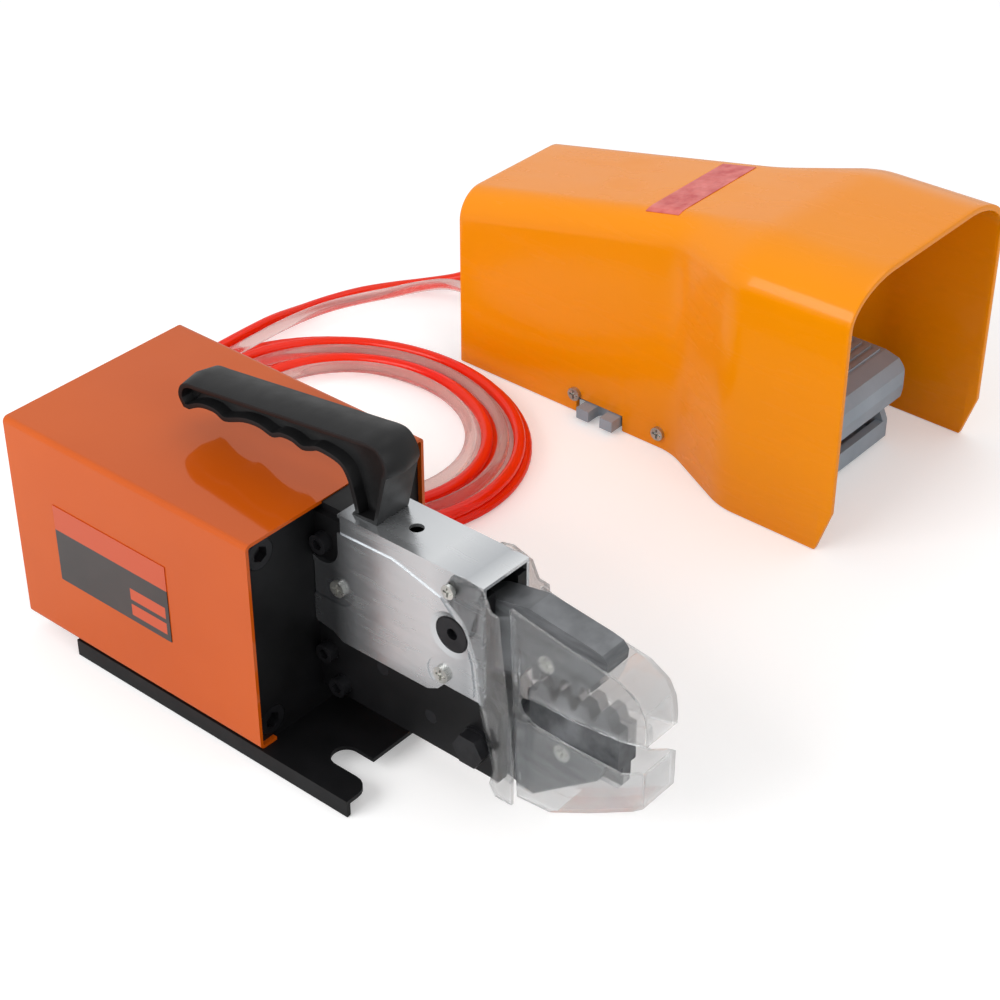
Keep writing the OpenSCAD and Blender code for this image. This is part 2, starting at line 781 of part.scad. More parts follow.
module wedge() color([0.5, 0.51, 0.53]) on_tool() difference() {
    along_y(-wedge_w / 2, wedge_w / 2) polygon([
        [wedge_rear, wedge_low], [wedge_rear + wedge_l, wedge_low],
        [wedge_rear + wedge_l, flank(wedge_rear + wedge_l)], [wedge_rear, flank(wedge_rear)]
    ]);
    rod_x(wedge_rear - over, wedge_rear + rod_spigot_l, 0, axis_z, rod_spigot_r + run_gap);
}

module roller(x, z, w) difference() {
    rod_y(-w / 2, w / 2, x, z, roller_r);
    rod_y(-w / 2 - over, w / 2 + over, x, z, pin_r + run_gap);
}

module thrust_roller() color([0.6, 0.61, 0.63]) on_tool()
    roller(rest_x, rest_z, roller_w);

module thrust_pin() color([0.4, 0.4, 0.42]) on_tool()
    rod_y(-jaw_t / 2, jaw_t / 2, rest_x, rest_z, pin_r);

module support_roller() color([0.6, 0.61, 0.63]) on_tool()
    roller(closed_x, support_z, jaw_t - side_gap);

module support_pin() color([0.4, 0.4, 0.42]) on_tool()
    rod_y(-frame_out, frame_out, closed_x, support_z, pin_r);

module frame_screw_places()
    for (s = frame_screw_shares)
        translate([head_x + s[0] * head_l, 0, frame_low + s[1] * frame_h]) children();

module frame_plates() color([0.07, 0.07, 0.08]) on_tool() both_sides() difference() {
    along_y(frame_in, frame_out) polygon(placed(frame_shares, head_x, frame_low, frame_end - head_x, frame_h));
    rod_y(frame_in - over, frame_out + over, pivot_x, pivot_z, pivot_r + run_gap);
    rod_y(frame_in - over, frame_out + over, bolt_x, bolt_z, bolt_d / 2 + screw_gap);
    rod_y(frame_in - over, frame_out + over, dowel_x, bolt_z, dowel_r + run_gap);
    rod_y(frame_in - over, frame_out + over, closed_x, support_z, pin_r + run_gap);
    frame_screw_places() rod_y(frame_in - over, frame_out + over, 0, 0, frame_screw_r + screw_gap);
    rod_y(frame_in - over, frame_out + over, guard_screw_x, guard_screw_z, guard_screw_r + run_gap);
    for (p = cover_screw_places)
        rod_y(frame_in - over, frame_out + over, p[0], p[1], cover_screw_r + run_gap);
}

module spacers() color([0.1, 0.1, 0.11]) on_tool() difference() {
    union() {
        block([head_x, -frame_in, upper_spacer_z], [head_x + upper_spacer_l, frame_in, frame_top + cap_h]);
        block([head_x, -cap_y, frame_top], [head_x + upper_spacer_l, cap_y, frame_top + cap_h]);
        block([head_x, -frame_in, frame_low], [head_x + lower_spacer_l, frame_in, frame_low + lower_spacer_h]);
        for (z = [upper_stud_z, lower_stud_z]) rod_x(head_x - stud_l, head_x + over, 0, z, stud_r);
    }
    block([head_x - over, -cap_y - over, inner_top], [housing_l + side_gap, cap_y + over, head_top]);
    frame_screw_places() rod_y(-frame_in - over, frame_in + over, 0, 0, frame_screw_r + run_gap);
    rod_z(upper_spacer_z - over, head_top, handle_screw_x, 0, handle_screw_r + screw_gap);
    rod_z(upper_spacer_z - over, upper_spacer_z + handle_head_h, handle_screw_x, 0, handle_head_r + screw_gap);
}

module frame_screws() color([0.12, 0.12, 0.13]) on_tool() both_sides() frame_screw_places() difference() {
    union() {
        rod_y(frame_out - frame_screw_l, frame_out + over, 0, 0, frame_screw_r);
        rod_y(frame_out, frame_out + frame_screw_head_h, 0, 0, frame_screw_head_r);
    }
    translate([0, frame_out + frame_screw_head_h / 2, 0]) rotate([-90, 0, 0])
        socket(frame_screw_head_h, frame_screw_head_r);
}

// Plated cover of the head

cover_shares = [
    [0.176, 1], [1, 1], [1, 0.393], [0.769, 0.393], [0.732, 0.352], [0.67, 0.322], [0.161, 0.319],
    [0.105, 0.352], [0.003, 0.368], [0.003, 0.714], [0.07, 0.72], [0.176, 0.8]
];
panel_shares = [
    [0.003, 0.905], [0.482, 0.915], [0.55, 0.9], [0.76, 0.845], [0.85, 0.76], [0.89, 0.7], [0.93, 0.58],
    [0.945, 0.45], [0.94, 0.41], [0.7, 0.385], [0.62, 0.375], [0.003, 0.382]
];
panel_rise = 0.6;
notch_round = 9;
cover_screw_r = 1.8;
cover_screw_head_r = 3.6;
cover_screw_head_h = 1.6;
cover_screw_l = 6;
dee_in = 13.6;
dee_drop = 35.4;
low_in = 67.2;
low_drop = 50.2;
dee_screw = [head_x + dee_in, head_top - dee_drop];
low_screw = [head_x + low_in, head_top - low_drop];
cover_screw_places = [dee_screw, low_screw];
dee_round = 8;
low_round = 7.5;
pivot_hole_r = 8;
pivot_dish_r = 10.5;
oil_hole_r = 3;
oil_hole_in = 43.6;
oil_hole_x = head_x + oil_hole_in;
panel_end = cover_out + panel_rise;
notch_at = [head_x + frame_screw_shares[0][0] * head_l, frame_low + frame_screw_shares[0][1] * frame_h];

module cover_side() difference() {
    union() {
        along_y(frame_out, cover_out) polygon(placed(cover_shares, head_x, frame_low, head_l, head_h));
        difference() {
            along_y(cover_out, panel_end) polygon(placed(panel_shares, head_x, frame_low, head_l, head_h));
            rod_y(cover_out, panel_end + over, dee_screw[0], dee_screw[1], dee_round);
            block([head_x, cover_out, dee_screw[1] - dee_round],
                  [dee_screw[0], panel_end + over, dee_screw[1] + dee_round]);
            rod_y(cover_out, panel_end + over, low_screw[0], low_screw[1], low_round);
            translate([pivot_x, cover_out, pivot_z]) rotate([-90, 0, 0])
                cylinder(h = panel_rise + run_gap, r1 = pivot_hole_r, r2 = pivot_dish_r, $fn = 48);
        }
    }
    rod_y(frame_out - over, panel_end + over, pivot_x, pivot_z, pivot_hole_r);
    rod_y(frame_out - over, panel_end + over, notch_at[0], notch_at[1], notch_round);
    block([head_x - over, frame_out - over, notch_at[1]],
          [notch_at[0] + notch_round, panel_end + over, head_top + over]);
    rod_y(frame_out - over, panel_end + over, guard_screw_x, guard_screw_z, guard_screw_r + screw_gap);
    for (p = cover_screw_places)
        rod_y(frame_out - over, panel_end + over, p[0], p[1], cover_screw_r + screw_gap);
}

module head_cover() color([0.8, 0.82, 0.84]) on_tool() difference() {
    union() {
        both_sides() cover_side();
        block([notch_at[0] + notch_round, -cover_out, head_top - plated_t], [head_end, cover_out, head_top]);
    }
    rod_z(head_top - plated_t - over, head_top + over, oil_hole_x, 0, oil_hole_r);
    rod_z(head_top - plated_t - over, head_top + over, handle_screw_x, 0, handle_screw_r + screw_gap);
}

module cover_screws() color([0.75, 0.76, 0.78]) on_tool() both_sides()
    for (p = cover_screw_places) translate([p[0], 0, p[1]]) difference() {
        union() {
            rod_y(cover_out - cover_screw_l, cover_out + over, 0, 0, cover_screw_r);
            rod_y(cover_out, cover_out + cover_screw_head_h, 0, 0, cover_screw_head_r);
        }
        translate([0, cover_out + cover_screw_head_h / 2, 0]) rotate([-90, 0, 0])
            cross_cut(cover_screw_head_r, cover_screw_head_h);
    }

// Jaws and dies

module opened()
    translate([pivot_x, 0, pivot_z]) rotate([0, -jaw_angle, 0]) translate([-pivot_x, 0, -pivot_z]) children();

module upper_jaw() color([0.09, 0.09, 0.1]) on_tool() opened() difference() {
    union() {
        along_y(-jaw_t / 2, jaw_t / 2) polygon(concat(
            placed(upper_jaw_shares, pivot_x, pivot_z, jaw_reach, jaw_reach),
            [
                [die_x + upper_die_l, pivot_z - jaw_face_drop],
                [die_x, pivot_z - jaw_face_drop]
            ],
            placed(upper_neck_shares, pivot_x, pivot_z, jaw_reach, jaw_reach)
        ));
        along_y(-jaw_t / 2, jaw_t / 2) polygon(placed(arm_shares, pivot_x, pivot_z, arm_l, arm_l));
        rod_y(-jaw_t / 2, jaw_t / 2, pivot_x, pivot_z, hub_r);
        rod_y(-jaw_t / 2, jaw_t / 2, closed_x, closed_z, cheek_r);
    }
    rod_y(-jaw_t / 2 - over, jaw_t / 2 + over, pivot_x, pivot_z, pivot_r + run_gap);
    rod_y(-jaw_t / 2 - over, jaw_t / 2 + over, closed_x, closed_z, pin_r + run_gap);
    block([closed_x - roller_r - over, -roller_w / 2 - side_gap, closed_z - roller_r - over],
          [closed_x + roller_r + over, roller_w / 2 + side_gap, closed_z + roller_r + over]);
    block([die_x - run_gap, -tongue_t / 2 - run_gap, pivot_z - jaw_face_drop - over],
          [die_x + upper_die_l + over, tongue_t / 2 + run_gap, pivot_z - jaw_face_drop + upper_tongue_h + run_gap]);
    die_screw_hole(upper_screw_x, pivot_z - jaw_face_drop + upper_tongue_h / 2);
}

module die_screw_hole(x, z) {
    rod_y(-jaw_t / 2 - over, jaw_t / 2 + over, x, z, die_screw_r + run_gap);
    translate([x, -jaw_t / 2 + die_screw_head_l, z]) rotate([90, 0, 0])
        cylinder(h = die_screw_head_l, r1 = die_screw_r, r2 = die_screw_head_r, $fn = 48);
}

module die_screw(x, z) difference() {
    union() {
        rod_y(-jaw_t / 2, jaw_t / 2, x, z, die_screw_r);
        translate([x, -jaw_t / 2 + die_screw_head_l, z]) rotate([90, 0, 0])
            cylinder(h = die_screw_head_l, r1 = die_screw_r, r2 = die_screw_head_r - run_gap, $fn = 48);
    }
    translate([x, -jaw_t / 2 + die_screw_head_l / 2, z]) rotate([90, 0, 0])
        cross_cut(die_screw_head_r, die_screw_head_l);
}

module lower_jaw() color([0.09, 0.09, 0.1]) on_tool() difference() {
    along_y(-jaw_t / 2, jaw_t / 2) polygon(placed(lower_jaw_shares, lower_jaw_x, lower_jaw_z, lower_jaw_l, lower_jaw_h));
    rod_y(-jaw_t / 2 - over, jaw_t / 2 + over, bolt_x, bolt_z, bolt_d / 2 + screw_gap);
    rod_y(-jaw_t / 2 - over, jaw_t / 2 + over, dowel_x, bolt_z, dowel_r + run_gap);
    block([die_x - run_gap, -tongue_t / 2 - run_gap, table_z - lower_tongue_h - run_gap],
          [die_x + die_l + over, tongue_t / 2 + run_gap, table_z + over]);
    die_screw_hole(lower_screw_x, table_z - lower_tongue_h / 2);
}

tooth_shares = [[0.1, 0], [0.3, 1], [0.7, 1], [0.9, 0]];

function teeth(lift) = [
    [die_x - over, die_valley_z + lift],
    for (i = [0 : die_teeth - 1], s = tooth_shares)
        [die_x + die_margin + (i + s[0]) * tooth_pitch, die_valley_z + s[1] * tooth_h + lift],
    [die_x + die_l + over, die_valley_z + lift]
];

module upper_die() color([0.13, 0.13, 0.14]) on_tool() opened() difference() {
    union() {
        block([die_x, -die_t / 2, die_valley_z + die_gap], [die_x + upper_die_l, die_t / 2, pivot_z - jaw_face_drop]);
        block([die_x, -tongue_t / 2, pivot_z - jaw_face_drop - over],
              [die_x + upper_die_l, tongue_t / 2, pivot_z - jaw_face_drop + upper_tongue_h]);
    }
    along_y(-die_t / 2 - over, die_t / 2 + over) polygon(concat(
        teeth(die_gap),
        [[die_x + die_l + over, die_valley_z - over], [die_x - over, die_valley_z - over]]
    ));
    rod_y(-jaw_t, jaw_t, upper_screw_x, pivot_z - jaw_face_drop + upper_tongue_h / 2, die_screw_r + run_gap);
}

module lower_die() color([0.13, 0.13, 0.14]) on_tool() difference() {
    union() {
        intersection() {
            along_y(-die_t / 2, die_t / 2) polygon(concat(
                teeth(0),
                [[die_x + die_l + over, table_z - over], [die_x - over, table_z - over]]
            ));
            block([die_x, -die_t, table_z], [die_x + die_l, die_t, die_tip_z]);
        }
        block([die_x, -tongue_t / 2, table_z - lower_tongue_h], [die_x + die_l, tongue_t / 2, table_z + over]);
    }
    rod_y(-jaw_t, jaw_t, lower_screw_x, table_z - lower_tongue_h / 2, die_screw_r + run_gap);
}

module upper_die_screw() color([0.6, 0.6, 0.62]) on_tool() opened()
    die_screw(upper_screw_x, pivot_z - jaw_face_drop + upper_tongue_h / 2);

module lower_die_screw() color([0.6, 0.6, 0.62]) on_tool()
    die_screw(lower_screw_x, table_z - lower_tongue_h / 2);

module pivot_pin() color([0.2, 0.2, 0.22]) on_tool() {
    difference() {
        rod_y(-pivot_end, pivot_end, pivot_x, pivot_z, pivot_r);
        both_sides() {
            rod_y(pivot_end - pin_recess_l, pivot_end + over, pivot_x, pivot_z, pin_recess_r);
            difference() {
                rod_y(frame_out, frame_out + clip_t + 2 * run_gap, pivot_x, pivot_z, pivot_r + over);
                rod_y(frame_out - over, frame_out + clip_t + over, pivot_x, pivot_z, pivot_r - clip_depth);
            }
        }
    }
    both_sides() difference() {
        rod_y(frame_out + run_gap, frame_out + run_gap + clip_t, pivot_x, pivot_z, clip_r);
        rod_y(frame_out, frame_out + clip_t + over, pivot_x, pivot_z, pivot_r - clip_depth + run_gap);
    }
}

module hex_bolt() color([0.1, 0.1, 0.11]) on_tool() {
    translate([bolt_x, 0, bolt_z]) rotate([90, 0, 0]) {
        translate([0, 0, -frame_out - washer_t - bolt_head_h - bolt_end])
            cylinder(h = 2 * (frame_out + washer_t) + bolt_head_h + bolt_end + over, r = bolt_d / 2, $fn = 48);
        translate([0, 0, frame_out + washer_t]) cylinder(h = bolt_head_h, r = bolt_head_w / sqrt(3), $fn = 6);
    }
    both_sides() difference() {
        rod_y(frame_out, frame_out + washer_t, bolt_x, bolt_z, washer_r);
        rod_y(frame_out - over, frame_out + washer_t + over, bolt_x, bolt_z, bolt_d / 2 + run_gap);
    }
    difference() {
        translate([bolt_x, frame_out + washer_t, bolt_z]) rotate([-90, 0, 0])
            cylinder(h = bolt_head_h, r = bolt_head_w / sqrt(3), $fn = 6);
        rod_y(frame_out, frame_out + washer_t + bolt_head_h + over, bolt_x, bolt_z, bolt_d / 2 + run_gap);
    }
}

module jaw_dowel() color([0.4, 0.4, 0.42]) on_tool()
    rod_y(-frame_out, frame_out, dowel_x, bolt_z, dowel_r);

// Clear guard

module guard_plan() polygon([
    [head_x, cover_out], [guard_web_x, cover_out], [guard_web_x + guard_t * 3, guard_in],
    [head_end + guard_reach / 3, guard_in], [head_end + guard_reach / 3, guard_in + guard_t],
    [guard_web_x + guard_t * 4, guard_in + guard_t], [guard_web_x + guard_t, cover_out + guard_t],
    [head_x, cover_out + guard_t]
]);

module guard_walls() difference() {
    along_y(-guard_w / 2, guard_w / 2) polygon(placed(wall_shares, head_end, guard_low, guard_reach, guard_h));
    translate([-guard_t, 0, 0]) intersection() {
        along_y(-guard_in, guard_in) polygon(placed(wall_shares, head_end, guard_low, guard_reach, guard_h));
        block([head_x, -guard_in, guard_low + guard_t], [guard_end, guard_in, guard_low + guard_h * guard_hollow_share]);
    }
    block([head_x, -guard_in, guard_low - over], [head_end + guard_reach * guard_low_share, guard_in, head_top]);
    block([head_x, -guard_in, guard_low + guard_h / 2],
          [head_end + guard_reach * guard_top_share, guard_in, head_top + over]);
}

module jaw_guard() color([0.85, 0.9, 0.92, 0.35]) on_tool() difference() {
    union() {
        both_sides() intersection() {
            along_y(guard_in, cover_out + guard_t)
                polygon(placed(flange_shares, head_end, guard_low, guard_reach, guard_h));
            translate([guard_web_x, 0, guard_low + guard_h]) rotate([0, -guard_lean, 0])
                translate([-guard_web_x, 0, -guard_h * 2]) linear_extrude(guard_h * 3) guard_plan();
            block([head_x, guard_in, guard_low],
                  [head_end + guard_reach * flange_reach_share, cover_out + guard_t, head_top + guard_rise]);
        }
        guard_walls();
    }
    along_y(-cover_out, cover_out) polygon(placed(slot_shares, head_end, guard_low, guard_reach, guard_h));
    both_sides() rod_y(cover_out - over, cover_out + guard_t + over, guard_screw_x, guard_screw_z,
                       guard_screw_r + screw_gap);
}

module guard_screws() color([0.7, 0.71, 0.73]) on_tool() both_sides()
    translate([guard_screw_x, 0, guard_screw_z]) difference() {
        union() {
            rod_y(cover_out + guard_t - guard_screw_l, cover_out + guard_t + over, 0, 0, guard_screw_r);
            rod_y(cover_out + guard_t, cover_out + guard_t + cover_screw_head_h, 0, 0, 2 * guard_screw_r);
        }
        translate([0, cover_out + guard_t + cover_screw_head_h / 2, 0]) rotate([-90, 0, 0])
            cross_cut(2 * guard_screw_r, cover_screw_head_h);
    }

// Handle

module handle() color([0.1, 0.1, 0.11]) on_tool() difference() {
    union() {
        along_y(-grip_w / 2, grip_w / 2) polygon(placed(handle_shares, grip_x, head_top, grip_l, grip_h));
        translate([grip_x + grip_l * handle_shares[2][0], 0, head_top + grip_h * handle_shares[2][1]])
            rotate([0, -crown_slope, 0]) along_x(0, grip_l * crown_share)
                polygon(concat(
                    [for (s = crown_shares) [s[0] * grip_w / 2, s[1] * crown_h]],
                    [[grip_w / 2, -crown_h], [-grip_w / 2, -crown_h]]
                ));
    }
    both_sides() difference() {
        along_y(grip_web / 2, grip_w / 2 + over) polygon(placed(pocket_shares, grip_x, head_top, grip_l, grip_h));
        for (s = rib_share)
            block([grip_x + s * grip_l, grip_web / 2, head_top],
                  [grip_x + s * grip_l + rib_t, grip_w / 2 - rib_t, head_top + grip_h]);
    }
    rod_z(head_top - over, head_top + handle_screw_l, handle_screw_x, 0, handle_screw_r + run_gap);
}

module handle_screw() color([0.5, 0.51, 0.53]) on_tool() difference() {
    union() {
        rod_z(upper_spacer_z, upper_spacer_z + handle_head_h, handle_screw_x, 0, handle_head_r);
        rod_z(upper_spacer_z, head_top + handle_screw_l, handle_screw_x, 0, handle_screw_r);
    }
    translate([handle_screw_x, 0, upper_spacer_z + handle_head_h / 2]) mirror([0, 0, 1])
        socket(handle_head_h / 2, handle_head_r);
}

// Push-in fittings

module fitting(y, z) difference() {
    union() {
        rod_x(fit_x - over, fit_x + port_l, y, z, thread_r);
        rod_x(fit_x - fit_l, fit_x, y, z, fit_r);
    }
    rod_x(fit_x - fit_l - over, fit_x - fit_l + collet_l, y, z, collet_r + run_gap);
    rod_x(fit_x - fit_l - over, hose_x, y, z, hose_bore);
    rod_x(fit_x - fit_l - over, fit_x + port_l + over, y, z, air_r);
}

module collet(y, z) difference() {
    union() {
        rod_x(fit_end, fit_end + collet_flange_t, y, z, collet_flange_r);
        rod_x(fit_end, fit_end + collet_flange_t + collet_l - over, y, z, collet_r);
    }
    rod_x(fit_end - over, fit_x, y, z, hose_bore);
}

module tool_fittings() color([0.78, 0.79, 0.8]) on_tool()
    for (y = [port_a_y, tube_y]) fitting(y, tube_z);

module tool_collet_a() color([0.1, 0.2, 0.6]) on_tool() collet(port_a_y, tube_z);
module tool_collet_b() color([0.1, 0.2, 0.6]) on_tool() collet(tube_y, tube_z);

// Hoses. Each route starts in its fitting, and the rest of its points are chosen by hand.

bench_gap = 0.1;
bench_z = hose_r + bench_gap;
lead = 3 * hose_d;
coil_at = [2, 144];
coil_stretch = 1.136;
coil_r = 88;
coil_pitch = 14.5;
coil_side = 7.25;
coil_layer = 6.6;
coil_turns = 4;
coil_steps = 24;

function smooth(u) = let (v = max(0, min(1, u))) v * v * (3 - 2 * v);
function coil_point(outer, t) = [
    coil_at[0] + coil_stretch * (outer - coil_pitch * min(t, coil_turns - t)) * cos(180 - 360 * t),
    coil_at[1] + (outer - coil_pitch * min(t, coil_turns - t)) * sin(180 - 360 * t),
    bench_z + coil_layer * smooth(2 * t - coil_turns + 1 / 2)
];
function coil_left(outer) = coil_at[0] - coil_stretch * outer;
function coil_path(outer) = concat(
    [[coil_left(outer), coil_at[1] - hose_d, bench_z]],
    [for (i = [0 : coil_turns * coil_steps]) coil_point(outer, i / coil_steps)],
    [[coil_left(outer), coil_at[1] + hose_d, bench_z + coil_layer]]
);
function least_gap(path, apart) = min([
    for (i = [0 : len(path) - 1 - apart], j = [i + apart : len(path) - 1]) norm(path[i] - path[j])
]) - hose_d;
function between(a, b) = min([for (p = a, q = b) norm(p - q)]) - hose_d;

function bend(p, i, u) =
    let (a = p[max(i - 1, 0)], b = p[i], c = p[i + 1], d = p[min(i + 2, len(p) - 1)],
         v = (2 * b + (c - a) * u + (2 * a - 5 * b + 4 * c - d) * u * u + (3 * b - a - 3 * c + d) * u * u * u) / 2)
    [v[0], v[1], max(v[2], bench_z)];
function route(p, steps) = concat(
    [p[0], p[1]],
    [for (i = [1 : len(p) - 3], k = [(i == 1 ? 1 : 0) : steps - 1]) bend(p, i, k / steps)],
    [p[len(p) - 2], p[len(p) - 1]]
);

orange_out = coil_r;
clear_out = coil_r - coil_side;
orange_start = [hose_x, port_a_y, tube_z];
clear_start = [hose_x, tube_y, tube_z];
orange_valve = [hose_x, valve_y + valve_port_y, valve_port_z];
clear_valve = [hose_x, valve_y - valve_port_y, valve_port_z];
orange_in_route = concat(
    [orange_start, orange_start - [lead, 0, 0]],
    [[-36, 10.5, 26], [-50, 11, 16], [-64, 14, 7], [-78, 20, 3.5], [-90, 31, 3.1], [-96, 46, 3.1],
     [-98, 64, 3.1], [-98, 90, 3.1], [-98, 112, 3.1]],
    [[coil_left(orange_out), coil_at[1] - 2 * hose_d, bench_z], [coil_left(orange_out), coil_at[1] - hose_d, bench_z]]
);
clear_in_route = concat(
    [clear_start, clear_start - [lead, 0, 0]],
    [[-34, 39, 26], [-48, 41, 17], [-62, 45, 8.5], [-75, 53, 4], [-84, 65, 3.1], [-88.5, 80, 3.1],
     [-89.7, 96, 3.1], [-89.7, 114, 3.1]],
    [[coil_left(clear_out), coil_at[1] - 2 * hose_d, bench_z], [coil_left(clear_out), coil_at[1] - hose_d, bench_z]]
);
orange_out_route = concat(
    [[coil_left(orange_out), coil_at[1] + hose_d, bench_z + coil_layer],
     [coil_left(orange_out), coil_at[1] + 2 * hose_d, bench_z + coil_layer]],
    [[-98, 176, 9.7], [-98, 196, 9], [-98, 216, 6], [-96, 236, 4], [-90, 254, 3.5], [-80, 269, 4],
     [-67, 281, 6], [-53, 290, 10], [-39, 296, 17]],
    [orange_valve - [lead, 0, 0], orange_valve]
);
clear_out_route = concat(
    [[coil_left(clear_out), coil_at[1] + hose_d, bench_z + coil_layer],
     [coil_left(clear_out), coil_at[1] + 2 * hose_d, bench_z + coil_layer]],
    [[-89.7, 172, 9.7], [-89.5, 190, 9.7], [-88, 208, 9.7], [-84, 224, 10], [-76, 239, 11],
     [-65, 251, 13.5], [-52, 260, 18], [-38, 266, 22]],
    [clear_valve - [lead, 0, 0], clear_valve]
);
route_steps = 2;
hose_sides = 10;
coil_sides = 6;
orange_coil = coil_path(orange_out);
clear_coil = coil_path(clear_out);
echo(orange_coil_gap = least_gap(orange_coil, coil_steps / 2), clear_coil_gap = least_gap(clear_coil, coil_steps / 2),
     between_coils = between(orange_coil, clear_coil));

module orange_hose_in() color([0.95, 0.25, 0.08, 0.9]) on_tool() tube(route(orange_in_route, route_steps), hose_r, hose_sides);
module orange_hose_coil() color([0.95, 0.25, 0.08, 0.9]) on_tool() tube(orange_coil, hose_r, coil_sides);
module orange_hose_out() color([0.95, 0.25, 0.08, 0.9]) on_tool() tube(route(orange_out_route, route_steps), hose_r, hose_sides);
module clear_hose_in() color([0.95, 0.75, 0.72, 0.7]) on_tool() tube(route(clear_in_route, route_steps), hose_r, hose_sides);
module clear_hose_coil() color([0.95, 0.75, 0.72, 0.7]) on_tool() tube(clear_coil, hose_r, coil_sides);
module clear_hose_out() color([0.95, 0.75, 0.72, 0.7]) on_tool() tube(route(clear_out_route, route_steps), hose_r, hose_sides);

// Foot valve

arch_steps = 8;
flare_steps = 3;
hood_stations = concat(
    [-hood_back],
    [for (i = [0 : flare_steps]) flare_x + flare_l * i / flare_steps],
    [hood_end]
);
function flare(x) = max(0, min(1, (x - flare_x) / flare_l));
function mix(a, b, s) = a + (b - a) * s;
function hood_top(x) = x < flare_x + flare_l ?
    mix(hood_rear_h, crease_h, (x + hood_back) / (flare_x + flare_l + hood_back)) :
    mix(crease_h, hood_front_h, (x - flare_x - flare_l) / (hood_end - flare_x - flare_l));

// Points of the hood's outline at one place, inset from its outer surface
function arch(x, inset) =
    let (half = mix(hood_rear_half, hood_front_half, flare(x)) - inset, high = hood_top(x) - inset,
         rx = mix(rear_round, front_round, flare(x)) - inset, rz = mix(rear_round, front_round_h, flare(x)) - inset)
    concat(
        [[x, half, 0]],
        [for (i = [0 : arch_steps]) [x, half - rx + rx * cos(90 * i / arch_steps), high - rz + rz * sin(90 * i / arch_steps)]],
        [for (i = [arch_steps : -1 : 0]) [x, -half + rx - rx * cos(90 * i / arch_steps), high - rz + rz * sin(90 * i / arch_steps)]],
        [[x, -half, 0]]
    );
function backward(list) = [for (i = [len(list) - 1 : -1 : 0]) list[i]];
function part_of(list, first, last) = [for (i = [first : last]) list[i]];

// Solid between closed rings, each made of an outer run and the inner run back
module skin(rings) {
    m = len(rings[0]);
    n = len(rings);
    h = m / 2;
    walls = [for (i = [0 : n - 2], k = [0 : m - 1])
        let (a = i * m + k, b = i * m + (k + 1) % m)
        each [[a, a + m, b], [b, a + m, b + m]]];
    first = [for (k = [0 : h - 2]) each [[k, k + 1, m - 1 - k], [k + 1, m - 2 - k, m - 1 - k]]];
    last = [for (k = [0 : h - 2]) let (o = (n - 1) * m)
        each [[o + k, o + m - 1 - k, o + k + 1], [o + k + 1, o + m - 1 - k, o + m - 2 - k]]];
    polyhedron(points = [for (r = rings) each r], faces = concat(walls, first, last), convexity = 6);
}

module hood_screw_places()
    for (p = hood_screw_places) translate([p[0], 0, p[1]]) children();

module valve_hood() color([0.96, 0.6, 0.05]) on_valve() difference() {
    skin([for (x = hood_stations) concat(arch(x, 0), backward(arch(x, hood_t)))]);
    block([notch_x, -hood_front_half, -over], [notch_x + notch_l, hood_front_half, notch_h]);
    along_y(-hood_front_half - over, hood_front_half + over) polygon([
        [hood_end - hood_corner_l, 0], [hood_end - hood_corner_l * hood_corner_share, hood_corner_h * hood_corner_share], [hood_end, hood_corner_h],
        [hood_end + over, hood_corner_h], [hood_end + over, -over], [hood_end - hood_corner_l, -over]
    ]);
    hood_screw_places() both_sides() rod_y(hood_in - over, hood_rear_half + over, 0, 0, hood_screw_r + screw_gap);
}

module hood_screws() color([0.75, 0.72, 0.6]) on_valve() hood_screw_places() both_sides() difference() {
    union() {
        rod_y(hood_rear_half - hood_screw_l, hood_rear_half + over, 0, 0, hood_screw_r);
        rod_y(hood_rear_half, hood_rear_half + hood_screw_head_h, 0, 0, hood_screw_head_r);
    }
    translate([0, hood_rear_half + hood_screw_head_h / 2, 0]) rotate([-90, 0, 0])
        cross_cut(hood_screw_head_r, hood_screw_head_h);
}

tape_first = arch_steps + 1;
tape_last = arch_steps + 4;

module hood_tape() color([0.85, 0.3, 0.25]) on_valve()
    skin([for (x = [tape_x, tape_x + tape_w]) concat(
        part_of(arch(x, -tape_t), tape_first, tape_last),
        backward(part_of(arch(x, -run_gap), tape_first, tape_last))
    )]);

module valve_base() color([0.5, 0.52, 0.54]) on_valve() difference() {
    union() {
        block([cast_x, -cast_half, pad_h], [cast_x + cast_l, cast_half, floor_z]);
        both_sides() along_y(cast_half - cast_wall_t, cast_half)
            polygon(placed(cast_shares, cast_x, pad_h, cast_l, cast_wall_h));
        block([cast_x + cast_l - cast_wall_t, -cast_half, pad_h], [cast_x + cast_l, cast_half, pad_h + front_wall_h]);
        both_sides() rod_y(cast_half - cast_wall_t, cast_half, pedal_pin_x, pedal_pin_z, boss_r + boss_low);
        hood_screw_places() both_sides() rod_y(cast_half - cast_wall_t, hood_in, 0, 0, boss_r);
        both_sides() block([ear_x, cast_half - over, pad_h], [ear_x + ear_l, ear_y, pad_h + ear_h]);
        rod_z(pad_h, floor_z + floor_t, spring_x, 0, spring_r - 3 * wire_r);
    }
    both_sides() {
        rod_z(pad_h - over, pad_h + ear_h + over, ear_slot_x + ear_slot_w / 2, ear_slot_y, ear_slot_w / 2);
        block([ear_slot_x, ear_slot_y, pad_h - over], [ear_slot_x + ear_slot_w, ear_y + over, pad_h + ear_h + over]);
        rod_y(cast_half - cast_wall_t - over, cast_half + over, pedal_pin_x, pedal_pin_z, pin_r + run_gap);
        hood_screw_places() rod_y(hood_rear_half - hood_screw_l - over, hood_in + over, 0, 0, hood_screw_r + run_gap);
    }
}

module rubber_feet() color([0.12, 0.12, 0.12]) on_valve()
    for (p = pad_places) both_sides() rod_z(0, pad_h, p[0], p[1], pad_r);

